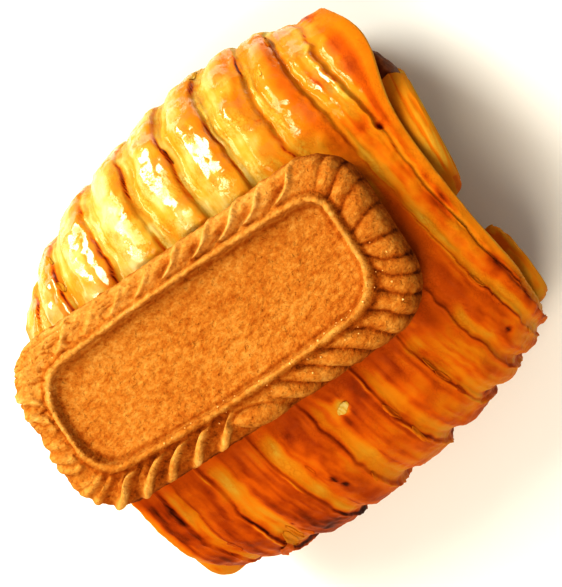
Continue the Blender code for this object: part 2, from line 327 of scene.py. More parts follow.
def tuck(x, side, down):
    """How far east a place lies from straight below the crown; down is 0 there and 1 at the foot."""
    ramp = np.clip((reach_of(x) - TUCK_FROM) / (1.0 - TUCK_FROM), 0.0, None) ** 1.3
    drawn = np.where(x < 0.0, WEST_TUCK, -EAST_TUCK * (1.0 - TUCK_LEAN * side))
    return BOW * down + drawn * ramp * np.clip(down, 0.0, None) ** 1.2


def flare(x, side, up):
    """How far the skin's north corner runs out at the east end."""
    ramp = np.clip((x - FLARE_FROM) / (EAST_END - FLARE_FROM), 0.0, None) ** 2
    return FLARE * ramp * hump(side - FLARE_SIDE, FLARE_SPAN) * np.clip(up, 0.0, None) ** 0.7


def wander(x, over):
    """How far the ribs stray along x, blended from one rib to the next."""
    rib = np.interp(x, RIB_CRESTS, np.arange(len(RIB_CRESTS)))
    first = np.floor(rib)
    total = 0.0
    for number, weight in ((first, 1.0 - rib + first), (first + 1.0, rib - first)):
        slow = SLOW_WANDER * np.sin(2.1 * over + 1.9 * number)
        total += weight * (slow + QUICK_WANDER * np.sin(5.3 * over + 0.7 * number))
    return total


def foot_fade(over):
    """1 over the skin, falling to 0 at both feet."""
    return np.clip(5.0 * (1.0 - np.abs(over)), 0.0, 1.0)


def roll_place(x, over):
    """Where the smooth skin lies, before its ribs are cut into it."""
    y_share = np.interp(over, SECTION_OVER, SECTION_Y)
    z_share = np.interp(over, SECTION_OVER, SECTION_Z)
    reach = np.abs(reach_of(x))
    east = x / EAST_END
    wide = 1.0 - np.where(x < 0.0, WEST_TAPER, EAST_TAPER) * reach**2.4
    spread = NORTH_SPREAD * east - NORTH_FLAT * (1.0 - east**2)
    wide = wide * (1.0 + np.clip(y_share, 0.0, None) * spread)
    y = ROLL_HALF_WIDTH * wide * y_share + EAST_SWING * np.clip(east, 0.0, None) ** 2
    z = ROLL_HEIGHT * (1.0 - END_DROP * reach**2.6) * z_share
    px = x + wander(x, over) * foot_fade(over) + tuck(x, y_share, 1.0 - z_share)
    px += flare(x, y_share, z_share) + np.interp(x, SKEW_PLACES, SKEWS) * y
    return np.stack([px, y, z], axis=-1)


print("skin from foot to foot:", round(2.0 * HALF_GIRTH, 1), "mm")

# %% [markdown]
# Before baking, a blade scores the skin across. In the oven each cut opens: what stays between two
# cuts is a rib, browned and washed with egg, and the gap shows the stretched layers below. A rib has
# a crisp, lifted edge on its east side and slopes off softly to the west, so the ribs lie a little
# like shingles. A wave could stand in for them, but it would be blunt and even, so a profile is drawn
# for each side of the roll and laid into every gap, and noise makes no two ribs alike.

# %% Ribs, gaps and their layers
PITCHES = np.diff(RIB_CRESTS)
GAPS = RIB_CRESTS[:-1] + 0.52 * PITCHES
GAP_HALVES = 0.1944 * PITCHES
LAST_GAP = len(GAPS) - 1
STRIP_GAP = LAST_GAP - 1
GAP_PLACES = (-1.30, -1.06, -0.90, -0.45, 0.10, 0.60, 1.30)
NORTH_PROFILE = (0.0, -0.12, -0.62, -0.88, -0.80, -0.52, 0.0)
SOUTH_PROFILE = (0.0, 0.12, -0.26, -0.52, -0.60, -0.40, 0.0)
CREASE_X, HOLE_OVER = 32.8, 0.145


def nearest_gap(x):
    """The number of the gap nearest to each place, and how far across it: -1 west, 1 east."""
    number = np.argmin(np.abs(x[..., None] - GAPS), axis=-1)
    return number, (x - GAPS[number]) / GAP_HALVES[number]


def layer_lines(x, along):
    """Uneven lines along the roll's girth, from -1 to 1, where stretched layers show."""
    near = crumple(x / 0.62, along / 9.0, 14, 2)
    return np.clip(1.5 * near + 0.8 * soft_noise(x / 1.5, along / 6.0, 15), -1.0, 1.0)


def gap_depth(x, over, gap, north):
    """How deep each gap is cut, in mm: shallow at the east end and high on the north side."""
    deep = RIB_DEPTH * (1.0 + 0.35 * soft_noise(gap * 3.7 + 0.3, over * HALF_GIRTH / 9.0, 13))
    deep = deep * (1.0 - 0.30 * north * smoothstep(12.0, 20.0, x))
    deep = np.where(gap == LAST_GAP, 0.62 * deep, deep)
    deep = np.where(gap == STRIP_GAP, deep * (0.72 + 0.28 * north), deep)
    return deep * (1.0 + 0.5 * smoothstep(-0.55, -0.78, over)) * (1.0 - 0.45 * smoothstep(0.45, 0.75, over))


def torn_crease(x, over, xs):
    """The crease in the band at the east end, its raised edge and the hole it starts from, in mm."""
    torn = smoothstep(0.10, 0.17, over) * smoothstep(0.50, 0.40, over)
    crease = (0.42 * hump(xs - CREASE_X + 0.75, 0.28) - 0.35 * hump(xs - CREASE_X, 0.26)) * torn
    hole = np.hypot((x - CREASE_X) / 0.55, (over - HOLE_OVER) * HALF_GIRTH / 0.75)
    return crease - 0.8 * hump(hole, 1.0, 4)


def skin_relief(x, over):
    """Height above the smooth skin in mm, and what the skin is like there."""
    along = over * HALF_GIRTH
    lean = 0.5 * hump(over - 0.27, 0.17) * smoothstep(29.0, 23.0, x)
    xs = x + 0.48 * soft_noise(x / 6.0, along / 5.0, 11)
    xs = xs + 0.20 * soft_noise(x / 2.0, along / 1.6, 12) + lean
    gap, across = nearest_gap(xs)
    north = smoothstep(-0.25, 0.25, over)
    profiles = (np.interp(across, GAP_PLACES, profile) for profile in (SOUTH_PROFILE, NORTH_PROFILE))
    carve = toward(*profiles, north)
    crest = 1.0 - smoothstep(0.15, 0.55, -carve)
    layer = layer_lines(xs, along)
    height = gap_depth(x, over, gap, north) * carve
    height += layer * (0.17 * (1.0 - crest) * (0.55 + 0.45 * north) + 0.07 * crest * (1.0 - north))
    height -= 0.16 * smoothstep(3.2, 1.2, np.abs(across) * GAP_HALVES[gap]) * crest
    height += 0.34 * soft_noise(x / 7.0, along / 8.0, 16)
    height += 0.20 * soft_noise(x / 2.6, along / 3.1, 19) * (0.35 + 0.65 * crest)
    height += 0.10 * crumple(x / 1.5, along / 1.9, 17) * (0.3 + 0.7 * crest)
    height += 0.055 * crumple(x / 0.6, along / 0.9, 18, 2) + torn_crease(x, over, xs)
    return height, crest, gap, across, xs


print("gaps at", [round(g, 1) for g in GAPS])

# %% [markdown]
# How brown each place is decides its colour. Ribs brown most, gaps stay gold, the north side is
# paler than the south, the wide band at the east end turns deep orange beside its crease, and the
# cut edges of the dough stay pale. A few specks are burnt. A material could mix this from masks, but
# the gaps and crests that shape the skin also say where it browns, so the tones are worked out
# together with the shape and stored on the mesh. Each tone is laid over the one before. Some of the
# brownness is painted light: dark shadow lines along the ribs' cut edges, pale highlights on torn
# edges, painted shade in the low south gaps and towards the feet, and a painted shadow by the biscuit.

# %% How brown and how glossy the skin is
SPECKS = (  # x in mm, place over the roll, size in mm: small burnt spots
    (-6.6, -0.45, 0.40), (-6.0, -0.485, 0.40), (25.9, -0.508, 0.50), (-17.0, -0.50, 0.22),
    (14.5, -0.46, 0.25), (20.5, 0.33, 0.25), (CREASE_X, HOLE_OVER, 0.45), (-28.0, 0.55, 0.35),
    (5.0, 0.66, 0.35),
)
BARE_SPOTS = ((1.3, -0.325, 0.9, 1.3), (17.2, -0.30, 0.4, 0.7))  # x, over, half width, half length


def rib_tone(x, over, across, noises):
    """How brown the ribs are: pale gold to amber on the north side, red-brown on the south."""
    patch, spots, dabs, threads, north = noises
    amber = np.where(across < 0.0, smoothstep(-3.0, -1.5, across), 0.0)
    amber = amber * (1.0 - 0.7 * smoothstep(0.52, 0.72, over + 0.12 * patch))
    eastward = smoothstep(4.0, 19.0, x) * smoothstep(0.80, 0.55, over)
    on_north = 0.17 + 0.36 * amber + 0.10 * patch + 0.13 * spots + 0.07 * dabs
    on_north += (0.18 + 0.14 * smoothstep(17.0, 19.0, x)) * eastward
    on_north = np.minimum(on_north, 0.60) + 0.07 * threads * eastward
    on_south = 0.765 + 0.08 * patch + 0.04 * spots + 0.02 * dabs + 0.065 * threads
    on_south += 0.09 * smoothstep(4.0, -18.0, x) - 0.06 * smoothstep(5.0, 18.0, x)
    return toward(on_south, on_north, north), amber


def gap_tone(x, over, along, gap, across, noises):
    """How brown the gaps are: stained in places, darker near the band, and darker low on the south side with
    painted shade.
    """
    patch, spots, _, threads, north = noises
    low = smoothstep(0.50, 0.68, over)
    tone = 0.60 - 0.31 * north + 0.07 * spots
    tone += (0.11 - 0.03 * north) * patch - (0.09 + 0.01 * north) * threads
    stain = smoothstep(0.0, -0.9, across) * smoothstep(-0.1, 0.5, soft_noise(along / 3.0, gap * 2.7, 25))
    # Low on the south side the gaps are painted darker, as shade between the rib ends.
    tone += 0.22 * stain * north * (1.0 - 0.8 * low) + 0.22 * smoothstep(-0.55, -0.80, over)
    return tone + 0.20 * north * (1.0 - low) * smoothstep(18.0, 23.0, x)


def edge_tone(over, along, gap, across, north):
    """What the ribs' edges add: painted shadow lines, dark along the cut and faint across the gap on the
    south, and a painted highlight, pale where a torn edge catches the light.
    """
    kept = smoothstep(-0.6, 0.3, soft_noise(along / 4.0, gap * 5.3, 23))
    shadow_line = np.where(gap == STRIP_GAP, 0.0, 0.46 * north * (1.0 - 0.75 * smoothstep(0.50, 0.68, over)))
    far = smoothstep(-0.3, 0.4, soft_noise(along / 4.0, gap * 1.9, 26)) * (1.0 - north)
    painted_highlight = smoothstep(-0.1, 0.6, soft_noise(along / 5.0, gap * 3.1, 24)) * (1.0 - north)
    tone = (shadow_line + 0.12) * hump(across + 0.95, 0.10) * kept
    return tone + 0.08 * hump(across - 0.85, 0.09) * far - 0.32 * hump(across + 1.12, 0.08) * painted_highlight


def band_tone(x, over, noises):
    """How brown the band at the east end is: golden on the north side, red past its crease."""
    patch, spots, _, threads, _ = noises
    past_crease = smoothstep(CREASE_X - 0.5, CREASE_X + 1.2, x)
    golden = smoothstep(0.06, 0.24, over)
    tone = 0.72 + 0.05 * smoothstep(-0.2, -0.5, over) - 0.19 * golden + 0.10 * patch + 0.09 * spots
    tone = tone - (0.05 + 0.12 * golden) * threads
    red = past_crease * smoothstep(0.02, 0.14, over) * smoothstep(0.54, 0.44, over + 0.05 * patch)
    tone = toward(tone, 0.86 + 0.05 * spots + 0.04 * patch - 0.05 * threads, red)
    return tone + 0.14 * past_crease * smoothstep(0.42, 0.50, over)


def spot_away(x, over, spot_x, spot_over, wide, long):
    """How far each place is from a spot, squared, in the spot's own size."""
    return ((x - spot_x) / wide) ** 2 + ((over - spot_over) * HALF_GIRTH / long) ** 2


def skin_marks(x, over, crest, gap, across, xs):
    """Brownness, egg wash and the two directions of the layers for every place on the skin."""
    along = over * HALF_GIRTH
    north = smoothstep(-0.28, 0.22, over)
    patch = crumple(x / 6.5, along / 7.5, 21)
    spots = crumple(x / 2.2, along / 2.6, 22)
    noises = (patch, spots, soft_noise(x / 1.3, along / 2.0, 27), layer_lines(xs, along), north)
    on_rib, amber = rib_tone(x, over, across, noises)
    brown = toward(gap_tone(x, over, along, gap, across, noises), on_rib, crest)
    brown += edge_tone(over, along, gap, across, north)
    band = smoothstep(28.6, 30.2, x) * (0.45 + 0.55 * crest)
    brown = toward(brown, band_tone(x, over, noises), band)
    strip = hump(xs - 26.6, 1.7) * smoothstep(0.02, 0.16, over) * smoothstep(0.66, 0.45, over)
    brown = toward(brown, 0.74, 0.9 * strip)
    in_strip = np.where(gap == STRIP_GAP, 1.0 - crest, 0.0) * (1.0 - north)
    brown = brown - (0.03 + 0.09 * smoothstep(-0.35, -0.65, over)) * in_strip
    rim = smoothstep(EAST_ROW - 1.1, EAST_ROW - 0.4, x)
    rim = np.maximum(rim, smoothstep(WEST_ROW + 1.2, WEST_ROW + 0.5, x))
    brown = toward(brown, 0.58, 0.8 * rim)
    # Towards both feet the skin is painted darker, as shade where it curves under.
    foot = smoothstep(0.80, 0.97, np.abs(over))
    brown = toward(brown, 0.70 + 0.1 * patch, 0.8 * foot)
    for spot_x, spot_over, wide, long in BARE_SPOTS:
        brown = toward(brown, 0.34, hump(spot_away(x, over, spot_x, spot_over, wide, long), 1.0))
    for spot_x, spot_over, size in SPECKS:
        brown += 0.30 * hump(spot_away(x, over, spot_x, spot_over, size, 1.5 * size), 1.0, 1.5)
    wash = 0.20 + 0.80 * crest * smoothstep(-0.55, 0.25, spots + 0.6 * patch - 0.25 * amber)
    wash = wash * smoothstep(0.18, 0.34, over) * (1.0 - 0.9 * smoothstep(33.0, 33.8, x))
    wash = wash * (1.0 - 0.7 * rim) * (1.0 - 0.8 * foot)
    return np.clip(brown, 0.0, 1.0), np.clip(wash, 0.0, 1.0), np.stack([xs, along, gap * 7.0], axis=-1)


print("burnt specks:", len(SPECKS))

# %% [markdown]
# The biscuit has settled into the crust. The skin could be cut away under it, but that leaves a sharp
# edge all round. Instead the skin is pressed down to the biscuit's underside and rises again beside
# it, as real dough does, and the plane is the same one that the packed solid keeps to.

# %% Where the biscuit lies
BISCUIT_LONG, BISCUIT_WIDE = 62.0, 29.0
BISCUIT_CORNER = 8.5
BISCUIT_BOW = 0.9
BISCUIT_AT = np.array((-4.6, -0.1, 33.0))
BISCUIT_YAW, BISCUIT_PITCH = math.radians(-9.2), math.radians(1.0)
BISCUIT_AXES = np.array(Matrix.Rotation(BISCUIT_YAW, 3, "Z") @ Matrix.Rotation(-BISCUIT_PITCH, 3, "Y"))
TOUCH = 0.03
SINK_SLOPE = 5.0


def bow_of(x):
    """How far the biscuit's long sides bend towards the south at a place along it."""
    return BISCUIT_BOW * (0.5 - (2.0 * x / BISCUIT_LONG) ** 2)


def off_biscuit(local, bow):
    """How far points in the biscuit's own frame lie outside its outline; inside it is negative."""
    aside = np.abs(local[..., 1] + bow)
    return np.maximum(np.abs(local[..., 0]) - BISCUIT_LONG / 2, aside - BISCUIT_WIDE / 2)


def settle_under_biscuit(points):
    """Lowers skin points that would reach into the biscuit, and lets them rise again beside it."""
    local = (points - BISCUIT_AT) @ BISCUIT_AXES
    ceiling = SINK_SLOPE * np.clip(off_biscuit(local, 0.0), 0.0, None) - TOUCH
    points[..., 2] -= np.clip(local[..., 2] - ceiling, 0.0, None)
    return points


print("biscuit:", BISCUIT_LONG, "by", BISCUIT_WIDE, "mm")

# %% [markdown]
# The skin is one closed mesh: rows across the roll, each going over the skin and back under the flat
# base. Even rows would need many more of them for crisp ribs, so they lie closer together where a
# rib's edge falls. At both ends the rows carry on round a rounded lip and into the sunken face that
# the coils push out of.

# %% Skin of the pastry
SKIN_ROWS, SKIN_OVER, SKIN_UNDER = 236, 330, 30
LIP_STEPS = (  # share of the end's size, mm outward, brownness
    (0.992, 0.22, 0.50), (0.980, 0.38, 0.46), (0.968, 0.36, 0.44), (0.956, 0.22, 0.42), (0.944, 0.0, 0.50),
    (0.934, -0.5, 0.68), (0.924, -1.0, 0.80), (0.910, -1.5, 0.62), (0.890, -1.6, 0.48), (0.872, -1.5, 0.42),
    (0.856, -1.9, 0.66), (0.838, -2.2, 0.50), (0.815, -2.0, 0.42), (0.79, -2.4, 0.60), (0.74, -2.6, 0.48),
    (0.66, -2.7, 0.48), (0.5, -2.8, 0.50), (0.3, -2.8, 0.50), (0.1, -2.8, 0.50),
)
HEART_HEIGHT = 0.45 * ROLL_HEIGHT


def row_places(low, high, count):
    """Places along the roll, closer together near the sharp sides of the gaps."""
    fine = np.linspace(low, high, 6000)
    weight = np.ones_like(fine)
    for centre, half in zip(GAPS, GAP_HALVES):
        weight += 1.5 * hump(fine - centre + 0.9 * half, 0.8) + 0.5 * hump(fine - centre, half)
    passed = np.concatenate([[0.0], np.cumsum(weight[1:])])
    return np.interp(np.linspace(0.0, passed[-1], count), passed, fine)


def lip_rows(edge, outward, side):
    """Rows that close an end, with how brown each is, how washed, and its layers' directions."""
    heart = edge.mean(axis=0)
    heart[2] = HEART_HEIGHT
    turn = np.arctan2(edge[:, 2] - heart[2], edge[:, 1] - heart[1])
    rows, browns, lays = [], [], []
    for number, (share, out, brown) in enumerate(LIP_STEPS):
        inner = smoothstep(1.0, 0.8, share)
        uneven = 0.010 * inner * soft_noise(turn * 4.0 + 9.0, number * 0.8, 31 + side)
        lifted = 0.35 * inner * soft_noise(turn * 5.0 + 9.0, number * 0.6, 32 + side)
        row = heart + (edge - heart) * (share + uneven)[:, None]
        row[:, 0] += outward * (out + lifted)
        row[:, 2] = np.maximum(row[:, 2], 0.0)
        rows.append(row)
        browns.append(brown + 0.08 * soft_noise(turn * 6.0 + 9.0, number * 0.5, 33 + side))
        lays.append([(number * 1.3, 0.3 * k, 50.0 + side) for k in range(len(edge))])
    browns = np.array(browns)
    return np.array(rows), browns, np.full(browns.shape, 0.12), np.array(lays)


def make_skin():
    """The skin's top with its brownness, and the whole closed skin with the values stored on it."""
    over = np.linspace(-1.0, 1.0, SKIN_OVER)
    x_grid, over_grid = np.meshgrid(row_places(WEST_ROW, EAST_ROW, SKIN_ROWS), over, indexing="ij")
    base = roll_place(x_grid, over_grid)
    height, *place = skin_relief(x_grid, over_grid)
    skin = base + normals_of(base, wrap=False) * (height * foot_fade(over_grid))[..., None]
    skin = settle_under_biscuit(skin)
    skin[..., 2] = np.maximum(skin[..., 2], 0.0)
    brown, wash, lay = skin_marks(x_grid, over_grid, *place)
    # Painted shadow: the skin beside the biscuit's south edge is darkened as if in its shade.
    local = (skin - BISCUIT_AT) @ BISCUIT_AXES
    beside = smoothstep(3.4, 0.4, off_biscuit(local, bow_of(local[..., 0])))
    brown = toward(brown, 0.84, 0.75 * beside * smoothstep(0.1, -0.1, over_grid))
    share = (np.arange(1, SKIN_UNDER + 1) / (SKIN_UNDER + 1))[None, :, None]
    under = toward(skin[:, -1:, :], skin[:, :1, :], share)
    under_brown = 0.66 + 0.12 * crumple(under[..., 0] / 7.0, under[..., 1] / 7.0, 41)
    below = (under, under_brown, np.full(under_brown.shape, 0.05), under)
    grids = [np.concatenate(pair, axis=1) for pair in zip((skin, brown, wash, lay), below)]
    west = [values[::-1] for values in lip_rows(grids[0][0], -1.0, 0)]
    east = lip_rows(grids[0][-1], 1.0, 1)
    return skin, brown, [np.concatenate(parts, axis=0) for parts in zip(west, grids, east)]


top_skin, skin_brown, (full_grid, *full_marks) = make_skin()
crust = tube_piece("glazed_crust", full_grid, dict(zip(("brown", "wash", "lay"), full_marks)))

# %% [markdown]
# The dough was rolled round the chocolate from both sides, so each end shows two coils. A coil's
# face is a spiral: the turns stand apart, rounded at their edges, and each turn is itself made of
# thin layers. The wall of the coil is smooth and pale where the skin doesn't cover it, and round the
# chocolate the dough has shrunk back. A sheet could be wound up, but its turns would cut through each
# other, so a coil is one closed mesh with the spiral as relief on its face.

# %% Coils of dough at the ends
COILS = (
    dict(y=2.5, z=16.4, wide=10.5, high=11.2, tilt=5.0, proud=3.7, lean=0.17, turns=2.7, seed=60),
    dict(y=-21.2, z=12.8, wide=6.8, high=8.0, tilt=14.0, proud=2.7, lean=0.0, turns=2.2, seed=70),
)
STICKS = (
    dict(y=12.0, z=19.0, tilt=-16.0, proud=4.7, seed=80, bare=2.4, reach=5.2),
    dict(y=-19.0, z=13.0, tilt=72.0, proud=2.7, seed=90, bare=2.0, reach=4.5),
)
COIL_AROUND = 300
LEAVES_A_TURN = 6.0
COIL_WALL = [(1.0, -7.0), (1.0, -5.6)] + [(1.0, -4.4 + 0.2 * k) for k in range(17)]  # size, mm outward
COIL_WALL += [(0.995, -0.95), (0.985, -0.60), (0.968, -0.32), (0.945, -0.10)]
COIL_FACE = np.linspace(0.92, 0.02, 64)


def end_plane(east, y, z):
    """Where the drawn-in, skewed end of the roll lies along x."""
    x = np.full(np.shape(y), EAST_END if east else WEST_END)
    return x + np.interp(x, SKEW_PLACES, SKEWS) * y + tuck(x, y / ROLL_HALF_WIDTH, 1.0 - z / ROLL_HEIGHT)


def tilted(shape, a, b):
    """y and z of points a along and b up in the section of a coil or stick."""
    tilt = math.radians(shape["tilt"])
    y = shape["y"] + a * math.cos(tilt) - b * math.sin(tilt)
    return y, shape["z"] + a * math.sin(tilt) + b * math.cos(tilt)


def coil_piece(name, coil, stick, east):
    """One coil's wall and spiral face at one end of the roll."""
    rows = [(size, out, 0.0) for size, out in COIL_WALL] + [(size, 0.0, 1.0) for size in COIL_FACE]
    size, out, face = (np.array(column)[:, None] for column in zip(*rows))
    angle = 2.0 * math.pi * np.arange(COIL_AROUND)[None, :] / COIL_AROUND
    wall = 1.0 - face
    seed = coil["seed"]
    own = seed if east else seed + 5
    seams = soft_noise(out * 1.7 + 0.5 * np.sin(2.0 * angle), angle * 1.5, seed + 5)
    seams = wall * smoothstep(0.25, 0.50, seams)
    lump = 1.0 + 0.018 * soft_noise(angle * 7.0 / math.pi, size * 2.0, own) * size - 0.012 * seams
    a = size * lump * coil["wide"] * np.cos(angle)
    y, z = tilted(coil, a, size * lump * coil["high"] * np.sin(angle))
    wobble = 0.035 * crumple(size * 5.0, angle * 4.0 / math.pi, own + 1)
    turn = size * coil["turns"] - angle / (2.0 * math.pi) + wobble
    within = turn - np.floor(turn)
    seam = hump(np.minimum(within, 1.0 - within), 0.085)
    leaves = np.sin(2.0 * math.pi * within * LEAVES_A_TURN)
    relief = 0.30 * np.sin(math.pi * within) + 0.07 * leaves - seam
    relief += 0.18 * soft_noise(y / 2.0, z / 2.0, own + 2)
    front = coil["proud"] + coil["lean"] * (y - coil["y"])
    reach = front + out + face * (relief + 0.25 * (1.0 - size))
    bare = stick["bare"] * hump(np.hypot(y - stick["y"], (z - stick["z"]) * 1.2), stick["reach"], 4)
    bare = bare * (1.0 + 0.3 * soft_noise(y / 1.5, z / 1.5, seed + 3))
    reach = np.minimum(reach, front - bare + 0.25)
    x = end_plane(east, y, z) + (reach if east else -reach)
    brown = 0.52 + 0.06 * soft_noise(y / 3.0, z / 3.0, own + 4)
    brown += face * (0.05 * leaves + 0.16 * seam - 0.02)
    brown += 0.10 * wall * smoothstep(-1.5, -5.0, out) + 0.18 * seams
    wash = 0.18 * (1.0 - 0.6 * face)
    lay = np.stack(np.broadcast_arrays(turn * 5.0, angle * size * 8.0, seed * 1.0), axis=-1)
    marks = {"brown": np.clip(brown, 0.0, 1.0), "wash": np.broadcast_to(wash, x.shape), "lay": lay}
    return tube_piece(name, np.stack([x, y, z], axis=-1), marks)


coils = [
    coil_piece("dough_coil_" + letter + "_" + end_name, coil, stick, east)
    for east, end_name in ((True, "east"), (False, "west"))
    for letter, coil, stick in zip("ab", COILS, STICKS)
]

# %% [markdown]
# The chocolate sticks are plain bars that softened in the oven and set again. Their sides slump a
# little, and their ends are rough where the dough let go of them. A box with rounded edges would be
# enough inside the dough, but the ends show, so a bar is a tube with most of its rows near its ends.

# %% Chocolate sticks
STICK_WIDE, STICK_HIGH = 9.0, 5.0
STICK_AROUND = 96
STICK_ENDS = ((0.0, 0.10), (0.25, 0.42), (0.45, 0.70), (0.7, 0.9), (1.0, 1.0), (1.5, 1.0), (2.2, 1.0),
              (3.0, 1.0), (4.2, 1.0), (6.0, 1.0), (10.0, 1.0))  # mm from the end, share of the section
ROUGH_END = 1.2


def stick_piece(name, stick):
    """A bar from end to end, a little slumped, with rough ends."""
    y0, z0 = np.array(stick["y"]), np.array(stick["z"])
    west = float(end_plane(False, y0, z0)) - stick["proud"]
    east = float(end_plane(True, y0, z0)) + stick["proud"]
    turn = np.linspace(0.0, 2.0 * math.pi, STICK_AROUND, endpoint=False)
    across, up = (
        np.sign(wave) * np.abs(wave) ** 0.5 * side / 2
        for wave, side in ((np.cos(turn), STICK_WIDE), (np.sin(turn), STICK_HIGH))
    )
    angle = np.arctan2(up, across)
    steps = [(west + at, size) for at, size in STICK_ENDS]
    steps += [(east - at, size) for at, size in reversed(STICK_ENDS)]
    rows = []
    for x, size in steps:
        slump = size * (1.0 + 0.03 * soft_noise(angle * 3.0 + 9.0, x * 0.5, stick["seed"]))
        y, z = tilted(stick, across * slump, up * slump)
        rough = 0.45 * soft_noise(across * size * 0.9, up * size * 0.9 + 5.0, stick["seed"] + 1)
        shift = np.abs(rough) if min(x - west, east - x) < ROUGH_END else 0.0 * rough
        rows.append(np.stack([x - shift if x > 0 else x + shift, y, z], axis=-1))
    grid = np.array(rows)
    return tube_piece(name, grid, {"brown": np.zeros(grid.shape[:2])})


chocolates = [stick_piece("chocolate_stick_" + letter, stick) for letter, stick in zip("ab", STICKS)]

# %% [markdown]
# The biscuit was pressed in a mould: a plain sunken panel, a narrow raised frame round it, and a rim
# of rope-like flutes. They stand up as thin hooked ridges on the north side, fan out as rounded lobes
# at the east end, are short bars and one round lobe to the south, and are worn and cracked to the
# west. The panel is left bare. Each flute could be a small solid joined to the rim, but pressed ones
# flow into it, so they are relief on one mesh. It runs in rings from the underside up the wall, over
# the flutes and the frame, and across the panel to its middle. A place on the rim is told by how far
# round it lies, from the south side's west end eastwards, and by the inset from the outline, in mm.

# %% Outline of the biscuit
STRAIGHT_X = BISCUIT_LONG / 2 - BISCUIT_CORNER
STRAIGHT_Y = BISCUIT_WIDE / 2 - BISCUIT_CORNER
QUARTER = 0.5 * math.pi * BISCUIT_CORNER
RIM_LENGTH = 4.0 * (STRAIGHT_X + STRAIGHT_Y + QUARTER)
WEST_MIDDLE = -19.35
BISCUIT_COLUMNS = 780
FRAME_IN = 5.70
BISCUIT_PROFILE = np.array((  # mm in from the rim, mm up
    (0.9, 0.0), (0.35, 0.15), (0.0, 0.9), (-0.05, 2.4), (0.05, 3.9), (0.45, 5.0), (1.3, 5.75),
    (2.4, 6.1), (3.4, 6.05), (4.60, 5.95), (4.95, 6.35), (5.25, 6.95), (FRAME_IN, 7.20), (6.05, 7.00),
    (6.35, 5.65), (6.65, 5.20), (7.6, 5.18),
))
PROFILE_ROWS, PANEL_ROWS = 74, 30
CORNER_GROWTH = ((2.0, 3.4), (2.0, 0.9))  # of the frame's corners: south, then north; west, then east
NARROW_NORTH, NARROW_SOUTH, NARROW_WEST = 0.20, 0.08, 0.12


def plain_ring(place, inset, grow):
    """The rounded outline moved in by an inset, with its corners' radius grown."""
    x, y = np.zeros(place.shape), np.zeros(place.shape)
    start = 0.0
    for side in range(4):
        half, other = (STRAIGHT_X, STRAIGHT_Y) if side % 2 == 0 else (STRAIGHT_Y, STRAIGHT_X)
        along = place - start
        bend = along >= 2.0 * half
        here = (along >= 0.0) & (along < 2.0 * half + QUARTER)
        angle = (along - 2.0 * half) / BISCUIT_CORNER - 0.5 * math.pi
        tight = BISCUIT_CORNER - inset + grow
        px = np.where(bend, half - grow + tight * np.cos(angle), (along - half) * (half - grow) / half)
        py = np.where(bend, -other + grow + tight * np.sin(angle), -other - BISCUIT_CORNER + inset)
        c, s = math.cos(0.5 * math.pi * side), math.sin(0.5 * math.pi * side)
        x, y = np.where(here, px * c - py * s, x), np.where(here, px * s + py * c, y)
        start += 2.0 * half + QUARTER
    return x, y


def biscuit_ring(place, inset):
    """Where the outline lies, at a place along the rim and an inset from it; the rim narrows in places."""
    x, y = plain_ring(place, np.zeros(place.shape), 0.0)
    middle = np.clip(1.0 - (x / 24.0) ** 2, 0.0, 1.0)
    narrow = (NARROW_NORTH * smoothstep(4.0, 12.0, y) + NARROW_SOUTH * smoothstep(-4.0, -12.0, y)) * middle
    narrow += NARROW_WEST * smoothstep(-26.0, -30.0, x) * np.clip(1.0 - (y / 9.0) ** 2, 0.0, 1.0)
    east, north = smoothstep(-18.0, 18.0, x), smoothstep(-9.0, 9.0, y)
    grow = toward(*(toward(*pair, east) for pair in CORNER_GROWTH), north)
    return plain_ring(place, inset * (1.0 - narrow), grow * smoothstep(3.0, 6.0, inset))


def make_biscuit_grid():
    """Rings of points over the whole biscuit in its own frame, in mm, with place and inset."""
    passed = np.concatenate([[0.0], np.cumsum(np.hypot(*np.diff(BISCUIT_PROFILE, axis=0).T))])
    even = np.linspace(0.0, passed[-1], PROFILE_ROWS)
    inset, lift = (np.interp(even, passed, column) for column in BISCUIT_PROFILE.T)
    for line in (inset, lift) * 2:
        line[1:-1] = 0.25 * line[:-2] + 0.5 * line[1:-1] + 0.25 * line[2:]
    steps = np.arange(BISCUIT_COLUMNS // 2) + 0.5
    south = WEST_MIDDLE + steps * RIM_LENGTH / BISCUIT_COLUMNS
    place = np.concatenate([south, 2.0 * WEST_MIDDLE + RIM_LENGTH - south[::-1]]) % RIM_LENGTH
    places, insets = np.broadcast_arrays(place[None, :], inset[:, None])
    x, y = biscuit_ring(places, insets)
    share = np.linspace(0.0, 0.975, PANEL_ROWS + 1)[1:, None]
    panel_x = toward(x[-1], np.clip(x[-1], -STRAIGHT_X, STRAIGHT_X), share)
    x, y = np.concatenate([x, panel_x]), np.concatenate([y, y[-1] * (1.0 - share)])
    lifts = np.concatenate([lift, np.full(PANEL_ROWS, lift[-1])])[:, None]
    insets = np.concatenate([inset, inset[-1] + 7.0 * share[:, 0]])[:, None]
    grid = np.stack(np.broadcast_arrays(x, y, lifts), axis=-1)
    return grid, np.broadcast_to(place, x.shape), np.broadcast_to(insets, x.shape)


print("round the rim:", round(RIM_LENGTH, 1), "mm")
